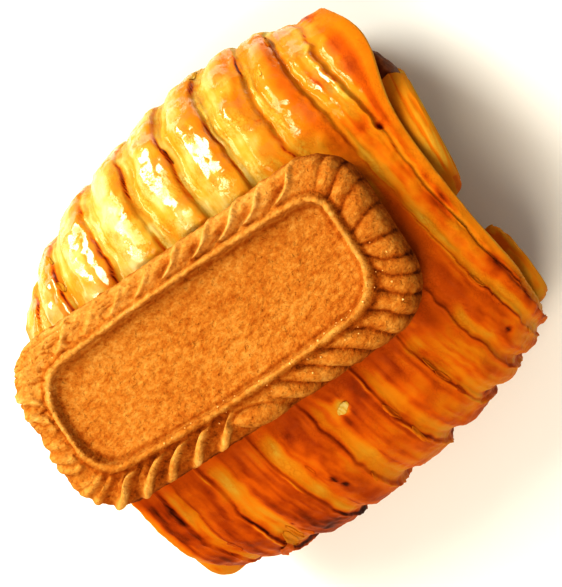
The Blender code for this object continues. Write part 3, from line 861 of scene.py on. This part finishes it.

# %% [markdown]
# The flutes are laid round the rim one kind at a time. Each adds to three maps: the relief in mm, how
# ridged a place is, which is painted paler as a highlight, and how hollow it is, which is painted
# darker as shade. One flute repeated all round would be shorter to write, but these change their
# form from side to side.

# %% Flutes on the biscuit
SOUTH_BARS = (-3.7, 1.2, 5.5, 9.9, 14.8)  # places round the rim, in mm
EAST_CREASES = (  # place, and how much the crease leans
    (26.0, -0.95), (30.2, -0.95), (34.4, -0.95), (38.8, -0.90), (43.6, -0.60), (48.2, -0.25), (52.2, 0.0),
    (55.9, 0.25), (59.2, 0.40), (62.4, 0.15), (66.0, -0.25), (69.8, -0.35), (73.6, -0.25), (77.4, 0.10),
)
NORTH_HOOKS = (  # place, and how strong the hook is
    (81.9, 1.0), (87.6, 0.9), (92.0, 1.0), (96.8, 1.0), (102.4, 0.9), (107.6, 0.55), (112.6, 0.4),
    (117.6, 0.3), (122.8, 0.45),
)
WEST_KNOBS, KNOB_STEP, FIRST_KNOB = 12, 2.55, 140.1
ROUND_LOBE = (22.6, 1.5, 3.2, 2.2, 1.35)  # place, inset, half length, half width, height


def shift_from(place, at):
    """How far round the rim a place lies from another, the short way."""
    return (place - at + 0.5 * RIM_LENGTH) % RIM_LENGTH - 0.5 * RIM_LENGTH


def add_bars(maps, place, inset, deep):
    """Short slanting bars on the south rim, sunk between."""
    bars = np.zeros(place.shape)
    for at in SOUTH_BARS:
        away = shift_from(place, at) - 1.10 * deep + 0.15 * np.sin(deep + at)
        bars = np.maximum(bars, hump(away, 0.95, 4))
    from_first = shift_from(place, 0.0)
    near = smoothstep(-8.0, -5.0, from_first) * smoothstep(20.5, 18.0, from_first)
    bars = bars * near * smoothstep(5.4, 4.0, inset) * smoothstep(-0.3, 1.0, inset)
    maps += (1.05 * bars - 0.65 * near * (1.0 - bars) * smoothstep(0.3, 1.6, inset), 0.9 * bars,
             0.9 * near * (1.0 - bars))


def add_lobes(maps, place, deep):
    """Rounded lobes between neighbouring grooves, round the south-east and the east end."""
    lobes, grooves = np.zeros(place.shape), np.zeros(place.shape)
    edges = [shift_from(place, at) - lean * (deep - 2.5) for at, lean in EAST_CREASES]
    for before, after in zip(edges, edges[1:]):
        inside = (before >= 0.0) & (after < 0.0)
        share = np.where(inside, before / np.maximum(before - after, 1e-6), 0.0)
        lobes = np.where(inside, np.sin(math.pi * share) ** 0.6, lobes)
    for edge in edges:
        grooves = np.maximum(grooves, hump(edge, 0.30))
    first, last = EAST_CREASES[0][0], EAST_CREASES[-1][0]
    chain = smoothstep(first - 1.0, first + 1.0, place) * smoothstep(last + 1.0, last - 1.0, place)
    tall = 1.20 - 0.45 * smoothstep(49.0, 55.0, place)
    lobes, grooves = lobes * chain, grooves * chain
    maps += (tall * (lobes - 1.0) * chain + 0.20 * chain, 0.25 * lobes,
             0.8 * grooves + 0.35 * chain * (1.0 - lobes))


def add_hooks(maps, place, deep):
    """Thin hooked ridges on the north rim, each with a pit beside it."""
    for at, strength in NORTH_HOOKS:
        away = shift_from(place, at) - 0.72 * deep - 0.26 * np.clip(deep - 2.0, 0.0, None) ** 2
        ridge = hump(away, 0.62, 3) * (0.35 + 0.65 * smoothstep(0.3, 2.4, deep)) * strength
        pit = hump(away - 1.55, 1.15) * hump(deep - 3.0, 1.35) * strength
        maps += (0.90 * ridge - 0.90 * pit, ridge, pit)


def add_knobs(maps, place, inset, deep):
    """Small uneven knobs, worn low, round the west end."""
    for k in range(WEST_KNOBS):
        away = shift_from(place, FIRST_KNOB + KNOB_STEP * (k + 0.25 * math.sin(2.3 * k))) - 0.55 * deep
        knob = hump(away, 0.75, 4) * (0.75 + 0.35 * math.sin(1.7 * k + 0.5)) * smoothstep(-0.3, 0.9, inset)
        maps[:2] += (0.70 * knob * smoothstep(5.4, 4.0, inset), 0.8 * knob)


def flute_relief(place, inset, lift):
    """Height of the flutes over the rim in mm, how ridged each place is, and how hollow."""
    maps = np.zeros((3,) + place.shape)
    deep = np.clip(inset, 0.0, None)
    add_bars(maps, place, inset, deep)
    add_lobes(maps, place, deep)
    add_hooks(maps, place, deep)
    add_knobs(maps, place, inset, deep)
    relief, ridges, hollows = maps
    middle, inward, long, wide, tall = ROUND_LOBE
    turned = shift_from(place, middle) + 0.9 * (deep - inward)
    round_off = (turned / long) ** 2 + ((inset - inward) / wide) ** 2
    lobe, moat = np.clip(1.0 - round_off, 0, 1), hump(round_off - 1.15, 0.35)
    relief = relief * (1.0 - 0.8 * moat) - 0.45 * moat
    relief = np.where(lobe > 0.0, tall * lobe**0.5 - 0.45, relief)
    hollows = np.where(lobe > 0.0, 0.0, np.maximum(hollows, 0.8 * moat))
    relief = relief * (0.55 + 0.45 * smoothstep(3.6, 5.6, lift)) - 0.12 * smoothstep(5.6, 3.6, lift)
    window = smoothstep(5.15, 4.2, inset) * smoothstep(0.1, 1.8, lift)
    return relief * window, np.clip(ridges, -1.0, 1.2) * window, np.clip(hollows, 0.0, 1.0) * window


def shape_biscuit():
    """The biscuit's final points in the part's frame, their tone of toast with painted highlight and shade,
    and their own places.
    """
    grid, place, inset = make_biscuit_grid()
    x, y, lift = np.moveaxis(grid, -1, 0)
    relief, ridges, hollows = flute_relief(place, inset, lift)
    worn = smoothstep(-1.0, -17.0, x) * smoothstep(-4.0, 5.0, y + 0.35 * (-24.0 - x))
    rim = smoothstep(5.6, 4.6, inset)
    wall = smoothstep(5.2, 3.4, lift) * smoothstep(2.0, 0.5, inset)
    up_side = smoothstep(0.3, 2.0, lift)
    cracks = np.abs(soft_noise(x * 0.30 + 0.1 * y + 20.0, y * 1.45 - 0.12 * x + 20.0, 125))
    cracks = smoothstep(0.16, 0.0, cracks) * worn * rim
    frame_top = hump(inset - FRAME_IN, 0.40)
    crumbs = 0.13 * crumple(x * 0.75, y * 0.95, 120, 4) * (0.5 + 0.9 * worn + 0.8 * hollows)
    crumbs = toward(crumbs, 0.10 * crumple(place * 0.75, lift * 0.95, 121, 4), wall)
    sand = 0.08 * crumple(x * 1.3 + 0.3 * y, y * 1.9 - 0.25 * x, 130, 4)
    sand = toward(sand, 0.08 * crumple(place * 1.5, lift * 1.7, 131, 4), wall)
    frame_wave = frame_top * (0.20 * soft_noise(place * 0.45, 0.0 * place, 128) + 0.05)
    height = (relief + crumbs * rim - 0.34 * cracks + frame_wave + sand) * up_side
    shaped = grid + normals_of(grid) * height[..., None]
    shaped[..., 2] += 0.12 * soft_noise(x * 0.06 + 3.0, y * 0.08 + 3.0, 133) * up_side
    shaped[..., 1] -= bow_of(shaped[..., 0])
    # Painted light in the tone: paler ridges, frame top and north rim; darker hollows, wall and frame feet.
    toast_and_shade = 0.51 - 0.20 * ridges + 0.24 * hollows + 0.18 * wall
    toast_and_shade = toast_and_shade - 0.20 * frame_top + 0.20 * hump(inset - 4.75, 0.35) + 0.16 * hump(inset - 6.80, 0.30)
    toast_and_shade = toast_and_shade - 0.16 * rim * smoothstep(4.0, 9.0, y) * smoothstep(30.0, 20.0, x)
    toast_and_shade += 0.05 * crumple(x * 0.25, y * 0.3, 140) + 0.22 * cracks
    toast_and_shade += 0.05 * rim * smoothstep(20.0, 27.0, x) - 0.04 * worn
    toast_and_shade += 0.17 * frame_top * smoothstep(-4.0, -8.0, y) * smoothstep(6.0, -8.0, x)
    return shaped @ BISCUIT_AXES.T + BISCUIT_AT, np.clip(toast_and_shade, 0.0, 1.0), grid


biscuit_grid, biscuit_toast_and_shade, biscuit_lay = shape_biscuit()
biscuit = add_piece("fluted_biscuit", biscuit_grid.reshape(-1, 3), folded_faces(*biscuit_toast_and_shade.shape),
                    {"brown": biscuit_toast_and_shade.ravel(), "lay": biscuit_lay.reshape(-1, 3)})

# %% [markdown]
# Coarse sugar was strewn on the biscuit before baking. The grains lie mostly beside the frame at the
# east end and along the south side. Each is a small cut crystal. They could be an object each, but
# one mesh for all of them is easier to handle and to export.

# %% Sugar on the biscuit
SUGAR_GRAINS = 46
CRYSTAL = np.array(((1, 0, 0), (-1, 0, 0), (0, 1, 0), (0, -1, 0), (0, 0, 1), (0, 0, -1)))
CRYSTAL_FACES = ((0, 2, 4), (2, 1, 4), (1, 3, 4), (3, 0, 4), (2, 0, 5), (1, 2, 5), (3, 1, 5), (0, 3, 5))


def scatter_sugar():
    """Small crystals that sit on the biscuit's rim."""
    draw = np.random.default_rng(7)
    points, faces = [], []
    rows = np.arange(34, PROFILE_ROWS - 4)
    for _ in range(SUGAR_GRAINS):
        place = draw.choice((draw.uniform(26.0, 84.0), draw.uniform(0.0, 167.0)), p=(0.8, 0.2))
        column = int(place / RIM_LENGTH * BISCUIT_COLUMNS) % BISCUIT_COLUMNS
        row = int(draw.choice(rows, p=np.linspace(0.4, 1.6, len(rows)) / len(rows)))
        size = draw.uniform(0.09, 0.20)
        turn = np.array(Matrix.Rotation(draw.uniform(0, 6.28), 3, Vector(draw.normal(size=3)).normalized()))
        shape = CRYSTAL * size * draw.uniform(0.7, 1.3, (6, 1))
        faces.extend(tuple(len(points) + k for k in face) for face in CRYSTAL_FACES)
        points.extend(biscuit_grid[row, column] + shape @ turn.T + np.array((0, 0, 0.5 * size)))
    return add_piece("sugar_grains", np.array(points), faces, smooth=False)


sugar = scatter_sugar()

# %% [markdown]
# Thin leaves of dough have lifted off the crust: small ones along the ribs' edges and larger, papery
# ones low on the south side, near the west end. A leaf starts flat on the skin, curls away from it
# towards one side, and has a torn outline. A single sheet would be simpler, but a real leaf has two
# sides and an edge, so each is a flat closed tube that follows the skin's own mesh.

# %% Papery flakes
FLAKE_LONG, FLAKE_WIDE = 22, 12
FLAKE_THICK = 0.09
BIG_FLAKES = (  # x in mm, place over the roll, length, width, turn in degrees, curl in mm, seed
    (-20.3, -0.57, 6.5, 1.5, 78.0, 0.3, 200), (-22.3, -0.60, 5.5, 2.0, 66.0, 0.35, 201),
    (-18.6, -0.55, 6.5, 0.8, 82.0, 0.25, 202), (1.4, -0.33, 2.2, 1.2, 30.0, 0.2, 203),
)
SMALL_FLAKES, FIRST_SMALL_SEED = 24, 300
SMALL_SIZES = ((1.5, 4.5), (0.35, 0.8), (80, 100), (0.05, 0.2))  # ranges of length, width, turn and curl
skin_rows = row_places(WEST_ROW, EAST_ROW, SKIN_ROWS)
skin_facing = normals_of(top_skin, wrap=False)


def on_skin(x, over):
    """The row and column of the skin's mesh at a place, with the shares between them."""
    row = np.clip(np.interp(x, skin_rows, np.arange(SKIN_ROWS)), 0, SKIN_ROWS - 1.001)
    column = np.clip((over + 1.0) / 2.0 * (SKIN_OVER - 1), 0, SKIN_OVER - 1.001)
    r, c = row.astype(int), column.astype(int)
    return r, c, (row - r)[..., None], (column - c)[..., None]


def blend(values, r, c, fr, fc):
    """The skin's values between its mesh points."""
    low, high = (toward(values[r, k], values[r + 1, k], fr) for k in (c, c + 1))
    return toward(low, high, fc)


def flake_grid(x, over, length, width, turn, curl, seed):
    """A leaf as a flat tube: each ring runs over its upper sheet and back under the lower one."""
    u, v = np.meshgrid(np.linspace(-1, 1, FLAKE_LONG), np.linspace(-1, 1, FLAKE_WIDE), indexing="ij")
    torn = 1.0 + 0.12 * soft_noise(u * 3.0 + seed, np.sign(v) * 4.0, seed)
    outline = np.clip(1.0 - np.abs(u) ** 2.6, 0.0, 1.0) ** 0.5 * torn
    a = u * 0.5 * length * (1.0 + 0.06 * soft_noise(v * 2.0 + seed, u, seed + 1))
    b = v * 0.5 * width * outline
    way = math.radians(turn)
    at_over = over + (a * math.sin(way) + b * math.cos(way)) / HALF_GIRTH
    spot = on_skin(x + a * math.cos(way) - b * math.sin(way), np.clip(at_over, -0.98, 0.98))
    lift = 0.10 + curl * (smoothstep(-0.3, 1.0, v) ** 1.6 + 0.12 * np.abs(u) ** 3)
    lift += 0.05 * soft_noise(u * 4.0, v * 3.0 + seed, seed + 2)
    skin, facing = blend(top_skin, *spot), blend(skin_facing, *spot)
    top, under = (skin + facing * up[..., None] for up in (lift, lift - FLAKE_THICK))
    return np.concatenate([top, under[:, ::-1]], axis=1)


def make_flakes():
    """Every leaf, joined in one mesh, each a little paler than the skin under it."""
    draw = np.random.default_rng(33)
    leaves = list(BIG_FLAKES)
    for k in range(SMALL_FLAKES):
        gap = int(draw.integers(0, LAST_GAP))
        side = -1.0 if draw.uniform() < 0.7 else 1.0
        over = draw.choice((draw.uniform(-0.60, -0.32), draw.uniform(0.25, 0.85)))
        sizes = [draw.uniform(*ends) for ends in SMALL_SIZES]
        leaves.append((GAPS[gap] + side * GAP_HALVES[gap], over, *sizes, FIRST_SMALL_SEED + k))
    points, faces, brown = [], [], []
    for x, over, length, width, turn, curl, seed in leaves:
        leaf = flake_grid(x, over, length, width, turn, curl, seed).reshape(-1, 3)
        faces += folded_faces(FLAKE_LONG, 2 * FLAKE_WIDE, len(leaf) * len(points))
        points.append(leaf)
        row = min(int(np.searchsorted(skin_rows, x)), SKIN_ROWS - 1)
        tone = skin_brown[row, int((over + 1.0) / 2.0 * (SKIN_OVER - 1))]
        tone = tone - (0.12 if seed < FIRST_SMALL_SEED else 0.08) + 0.04 * math.sin(seed * 1.7)
        brown.append(np.full(len(leaf), tone))
    points = np.concatenate(points)
    return add_piece("papery_flakes", points, faces, {"brown": np.concatenate(brown), "lay": points})


flakes = make_flakes()

# %% [markdown]
# Shaders could be wired by hand in the node editor, but written down they can be read and changed
# like the shapes. One small class does it: each call adds a node, sets or links its inputs, and
# returns the socket that comes out. Three effects are shared by several materials, so each is a
# group: how dough browns in the oven, the thin lines of its layers, and fine cracks in a dry or
# glazed surface.


# %% Shader helpers
class Net:
    """The nodes of one material or group."""

    def __init__(self, tree):
        self.tree = tree

    def feed(self, node, **inputs):
        """Sets a node's inputs by name, or by number after an underscore: to a socket or a plain value."""
        for name, value in inputs.items():
            socket = node.inputs[int(name[1:]) if name.startswith("_") else name.replace("_", " ")]
            if isinstance(value, bpy.types.NodeSocket):
                self.tree.links.new(value, socket)
            else:
                socket.default_value = value
        return node

    def add(self, kind, settings=None, **inputs):
        """A node of one kind, with its own settings and its inputs."""
        made = self.tree.nodes.new("ShaderNode" + kind)
        for name, value in (settings or {}).items():
            setattr(made, name, value)
        return self.feed(made, **inputs)

    def math_node(self, operation, first, second, clamp=False):
        """A Math node of two operands."""
        settings = {"operation": operation, "use_clamp": clamp}
        return self.add("Math", settings, _0=first, _1=second).outputs[0]

    plus = partialmethod(math_node, "ADD")
    minus = partialmethod(math_node, "SUBTRACT")
    times = partialmethod(math_node, "MULTIPLY")
    over = partialmethod(math_node, "DIVIDE")

    def noise(self, place, scale, detail, rough=0.5):
        return self.add("TexNoise", Vector=place, Scale=scale, Detail=detail, Roughness=rough).outputs["Fac"]

    def mark(self, name, output="Fac"):
        """A value stored on the mesh."""
        return self.add("Attribute", {"attribute_name": name}).outputs[output]

    def place(self):
        """Object coordinates in mm."""
        at = self.add("TexCoord").outputs["Object"]
        return self.add("VectorMath", {"operation": "SCALE"}, _0=at, Scale=1.0 / MM).outputs[0]

    def ramp(self, factor, stops):
        """A colour ramp: stops are (place, colour)."""
        made = self.add("ValToRGB", Fac=factor)
        elements = made.color_ramp.elements
        while len(elements) < len(stops):
            elements.new(0.5)
        for element, (place, colour) in zip(elements, stops):
            element.position = place
            element.color = (*colour, 1.0)
        return made.outputs["Color"]

    def span(self, value, low, high, to_low=0.0, to_high=1.0):
        """Maps one range of values to another along an even S, and holds it level outside."""
        settings = {"interpolation_type": "SMOOTHSTEP"}
        made = self.add("MapRange", settings, Value=value, From_Min=low, From_Max=high)
        self.feed(made, To_Min=to_low, To_Max=to_high)
        return made.outputs["Result"]

    def bump(self, height, distance, strength):
        return self.add("Bump", Height=height, Distance=distance, Strength=strength).outputs["Normal"]

    def use(self, group, output, **inputs):
        """Places a group; returns one of its outputs."""
        return self.add("Group", {"node_tree": group}, **inputs).outputs[output]


def new_group(name, inputs, outputs):
    """An empty shader group with named sockets: its net, its inner inputs and its inner end."""
    tree = bpy.data.node_groups.new(name, "ShaderNodeTree")
    for label, value in inputs.items():
        kind = "NodeSocketVector" if value is None else "NodeSocketFloat"
        socket = tree.interface.new_socket(label, in_out="INPUT", socket_type=kind)
        if value is not None:
            socket.default_value = value
    for label, kind in outputs.items():
        tree.interface.new_socket(label, in_out="OUTPUT", socket_type="NodeSocket" + kind)
    return Net(tree), tree.nodes.new("NodeGroupInput").outputs, tree.nodes.new("NodeGroupOutput")


def new_material(name, viewport):
    """A material, its net and its Principled BSDF."""
    material = bpy.data.materials.new(name)
    material.use_nodes = True
    material.diffuse_color = (*viewport, 1.0)
    return material, Net(material.node_tree), material.node_tree.nodes["Principled BSDF"]


print("shader helpers:", [name for name in vars(Net) if not name.startswith("_")])

# %% [markdown]
# Browning: dough goes from cream through gold and orange to red-brown and at last nearly black. The
# colours could be picked for each part, but they would drift apart. The group takes how brown a place
# is, mottles it a little at two scales, and reads the colour off one ramp, so every part of the
# pastry ages along the same path.

# %% Browning group
DOUGH_TONES = (
    (0.00, (0.62, 0.53, 0.28)), (0.16, (0.56, 0.44, 0.150)), (0.32, (0.52, 0.34, 0.056)),
    (0.48, (0.53, 0.255, 0.022)), (0.62, (0.56, 0.205, 0.010)), (0.76, (0.50, 0.116, 0.005)),
    (0.88, (0.31, 0.054, 0.003)), (1.00, (0.05, 0.010, 0.003)),
)


def browning_group():
    inputs = {"Brown": 0.5, "Mottle": 0.1, "Place": None}
    net, entry, leave = new_group("Oven Browning", inputs, {"Color": "Color", "Tone": "Float"})
    broad = net.noise(entry["Place"], 0.28, 3.0, 0.6)
    fine = net.noise(entry["Place"], 1.4, 4.0, 0.65)
    shift = net.times(net.minus(net.plus(broad, fine), 1.0), entry["Mottle"])
    tone = net.plus(entry["Brown"], shift, clamp=True)
    net.feed(leave, Color=net.ramp(tone, DOUGH_TONES), Tone=tone)
    return net.tree


browning = browning_group()
print("tones of dough:", len(DOUGH_TONES))

# %% [markdown]
# Layers: butter keeps the sheets of dough apart, so a torn or stretched place shows fine parallel
# lines. A wave texture would draw them too evenly, so the group squeezes a noise along the layers'
# direction, which the mesh stores in mm.


# %% Layers group
def layers_group():
    net, entry, leave = new_group("Dough Layers", {"Lay": None, "Lines per mm": 2.4}, {"Lines": "Float"})
    split = net.add("SeparateXYZ", _0=entry["Lay"]).outputs
    across, along = net.times(split["X"], entry["Lines per mm"]), net.times(split["Y"], 0.16)
    joined = net.add("CombineXYZ", X=across, Y=along, Z=split["Z"]).outputs[0]
    net.feed(leave, Lines=net.span(net.noise(joined, 1.0, 2.5, 0.55), 0.34, 0.66))
    return net.tree


layers = layers_group()
print("layers group sockets:", [s.name for s in layers.interface.items_tree])

# %% [markdown]
# Cracks: an egg wash dries to a thin skin that crazes. The cracks are finer than the mesh can hold, so
# they are drawn by the material: the borders of a cell pattern bent by noise, kept only where a
# second noise is high, so the crazing comes in patches.


# %% Cracks group
def cracks_group():
    inputs = {"Place": None, "Scale": 0.8, "Width": 0.05}
    net, entry, leave = new_group("Surface Cracks", inputs, {"Cracks": "Float"})
    bend = net.add("TexNoise", Vector=entry["Place"], Scale=0.9, Detail=3.0).outputs["Color"]
    reach = (1.6, 1.6, 1.6)
    bent = net.add("VectorMath", {"operation": "MULTIPLY_ADD"}, _0=bend, _1=reach, _2=entry["Place"])
    cells = net.add("TexVoronoi", {"feature": "DISTANCE_TO_EDGE"}, Scale=entry["Scale"])
    net.feed(cells, Vector=bent.outputs[0])
    inside = net.over(cells.outputs["Distance"], entry["Width"], clamp=True)
    kept = net.span(net.noise(entry["Place"], 0.22, 2.0), 0.45, 0.60)
    net.feed(leave, Cracks=net.times(net.minus(1.0, inside), kept))
    return net.tree


cracks = cracks_group()
print("cracks group sockets:", [s.name for s in cracks.interface.items_tree])

# %% [markdown]
# Crust, dough ends and flakes are one family. Each reads how brown it is from the mesh, sends it
# through the browning group with the layer lines and the crazing mixed in, and differs in gloss. A
# smoother crust alone would look wet all over. Real egg wash is a clear film on a dull crust, so the
# crust carries a coat where the brush left it, and the dough ends are nearly matt.


# %% Dough materials
def dough_material(name, line_share, line_relief, mottle, rough, crazed, coat=False):
    """A browned dough: line_share and line_relief are how strongly its layers show and stand up."""
    material, net, shader = new_material(name, (0.8, 0.4, 0.1))
    place, brown = net.place(), net.mark("brown")
    lines = net.use(layers, "Lines", Lay=net.mark("lay", "Vector"), Lines_per_mm=2.3)
    pale = net.span(brown, 0.62, 0.38)
    cracked = net.use(cracks, "Cracks", Place=place, Scale=1.6, Width=0.07)
    crazing = net.times(cracked, crazed)
    toned = net.plus(brown, net.times(net.times(net.minus(lines, 0.5), pale), line_share))
    toned = net.plus(toned, net.times(net.times(crazing, pale), 0.42))
    mottling = net.plus(net.times(pale, mottle), 0.06)
    relief = net.minus(net.times(net.times(lines, pale), line_relief), net.times(crazing, 0.8))
    relief = net.plus(relief, net.times(net.noise(place, 3.2, 4.0, 0.6), 0.35))
    net.feed(
        shader,
        Base_Color=net.use(browning, "Color", Brown=toned, Mottle=mottling, Place=place),
        Roughness=net.span(net.noise(place, 1.1, 3.0), 0.35, 0.68, *rough),
        Specular_IOR_Level=0.03,
        Normal=net.bump(relief, 0.22 * MM, 0.55),
    )
    if coat:
        brushed = net.span(net.noise(place, 0.42, 6.0, 0.66), 0.44, 0.48, 0.10, 1.0)
        glazed = net.times(net.times(net.mark("wash"), brushed), net.minus(1.0, cracked, clamp=True))
        net.feed(shader, Coat_Weight=glazed, Coat_Roughness=0.09, Coat_IOR=2.0)
    return material


crust_finish = dough_material("egg washed crust", 0.05, 0.10, 0.14, (0.34, 0.50), 0.5, coat=True)
dough_finish = dough_material("baked dough layers", 0.34, 0.7, 0.14, (0.50, 0.66), 0.2)
flake_finish = dough_material("papery dough flakes", 0.20, 0.5, 0.10, (0.38, 0.55), 0.2)
print("dough finishes:", crust_finish.name, dough_finish.name, flake_finish.name)

# %% [markdown]
# The biscuit is dry and matt. Its colour runs from light caramel on the ridges to dark caramel in the
# grooves and on the wall, partly its toast and partly painted highlight and painted shade, and its
# sandy crumb is grain at two sizes, fine sand and coarser crumbs, with small pits between. A mesh fine
# enough for such sand would be huge, so it is left to bump. Sugar and chocolate need less: one cloudy
# noise gives each its colour and its gloss.

# %% Biscuit, sugar and chocolate materials
CARAMEL_TONES = (
    (0.00, (0.74, 0.52, 0.21)), (0.28, (0.62, 0.335, 0.090)), (0.50, (0.488, 0.204, 0.036)),
    (0.70, (0.36, 0.108, 0.012)), (1.00, (0.11, 0.023, 0.004)),
)
SUGAR_TONES = ((0.3, (0.85, 0.48, 0.14)), (0.7, (0.95, 0.72, 0.36)))
CHOCOLATE_TONES = ((0.30, (0.07, 0.020, 0.006)), (0.55, (0.16, 0.048, 0.014)), (0.75, (0.26, 0.090, 0.026)))


def biscuit_material():
    material, net, shader = new_material("caramelised biscuit", (0.55, 0.25, 0.07))
    lay = net.mark("lay", "Vector")
    turned = (0.0, 0.0, math.radians(-12.0))
    stretch = net.add("Mapping", Vector=lay, Rotation=turned, Scale=(1.0, 1.35, 1.0)).outputs[0]
    sand = net.noise(stretch, 1.9, 5.0, 0.62)
    crumbs = net.noise(stretch, 0.8, 3.0, 0.55)
    tone = net.plus(net.mark("brown"), net.times(net.minus(crumbs, 0.5), 0.60))
    tone = net.minus(tone, net.times(net.minus(sand, 0.5), 0.45), clamp=True)
    pits = net.span(net.noise(lay, 1.5, 2.0), 0.36, 0.29)
    relief = net.minus(net.plus(sand, net.times(crumbs, 0.8)), net.times(pits, 0.5))
    rough = net.span(sand, 0.3, 0.7, 0.62, 0.88)
    net.feed(shader, Base_Color=net.ramp(tone, CARAMEL_TONES), Roughness=rough, Specular_IOR_Level=0.03,
             Normal=net.bump(relief, 0.60 * MM, 0.8))
    return material


def cloudy_material(name, viewport, tones, noise, rough, specular, bumpy):
    """A material whose colour and gloss follow one noise, which may also roughen it."""
    material, net, shader = new_material(name, viewport)
    cloud = net.noise(net.place(), *noise)
    net.feed(shader, Base_Color=net.ramp(cloud, tones), Roughness=net.span(cloud, 0.3, 0.7, *rough),
             Specular_IOR_Level=specular)
    if bumpy:
        net.feed(shader, Normal=net.bump(cloud, 0.4 * MM, 0.6))
    return material


biscuit_finish = biscuit_material()
sugar_finish = cloudy_material(
    "sugar grains", (0.9, 0.8, 0.6), SUGAR_TONES,
    noise=(2.0, 2.0), rough=(0.2, 0.4), specular=0.25, bumpy=False,
)
chocolate_finish = cloudy_material(
    "dark chocolate", (0.06, 0.02, 0.01), CHOCOLATE_TONES,
    noise=(0.7, 5.0, 0.6), rough=(0.34, 0.62), specular=0.12, bumpy=True,
)
print("finishes made:", len(bpy.data.materials))

# %% [markdown]
# The floor is a plain pale sheet, much larger than the pastry, with a faint grain so that it doesn't
# look empty from the side. A curved backdrop would look right from one side only, and the pastry is
# looked at from all of them.

# %% Floor
FLOOR_HALF = 1.6
FLOOR_TONES = ((0.3, (0.76, 0.85, 0.97)), (0.7, (0.79, 0.88, 1.0)))
floor_mesh = bpy.data.meshes.new("floor")
corners = [(x * FLOOR_HALF, y * FLOOR_HALF, 0) for x, y in ((-1, -1), (1, -1), (1, 1), (-1, 1))]
floor_mesh.from_pydata(corners, [], [(0, 1, 2, 3)])
floor = bpy.data.objects.new("floor", floor_mesh)
floor.location.z = -0.05 * MM
bpy.context.scene.collection.objects.link(floor)
floor_finish, floor_net, floor_shader = new_material("pale floor", (0.9, 0.9, 0.88))
mist = floor_net.add("TexNoise", Scale=40.0, Detail=2.0).outputs["Fac"]
floor_net.feed(floor_shader, Base_Color=floor_net.ramp(mist, FLOOR_TONES), Roughness=0.8)
floor_mesh.materials.append(floor_finish)
floor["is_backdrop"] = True
print("floor:", 2.0 * FLOOR_HALF, "m across")

# %% [markdown]
# Each piece gets its finish and rides on the part's one body. It could be done where each piece is
# made, but in one table it is plain that none is left out. The crust, its coils and its flakes
# together stand for the pastry.

# %% Finishes and places in the frame
for piece, finish, slot in (
    [(crust, crust_finish, "crust"), (flakes, flake_finish, "crust")]
    + [(coil, dough_finish, "crust") for coil in coils]
    + [(bar, chocolate_finish, "chocolate") for bar in chocolates]
    + [(biscuit, biscuit_finish, "caramel_biscuit"), (sugar, sugar_finish, "caramel_biscuit")]
):
    piece.data.materials.append(finish)
    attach(piece, "root")

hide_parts("pastry")
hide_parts("biscuit")
for letter, bar in zip("ab", chocolates):
    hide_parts("choc_stick_" + letter)

# %% [markdown]
# Last, the size of the dressed pastry is written down beside the packed model's. Fine relief may
# stand a little past the solids but not change the pastry's size, and two measured boxes show that
# better than a look does.

seen_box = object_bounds()
for axis, name in enumerate("xyz"):
    cad_side = cad_box[1][axis] - cad_box[0][axis]
    seen_side = seen_box[1][axis] - seen_box[0][axis]
    print(name, "side: model", round(cad_side / MM, 2), "mm, dressed", round(seen_side / MM, 2), "mm")
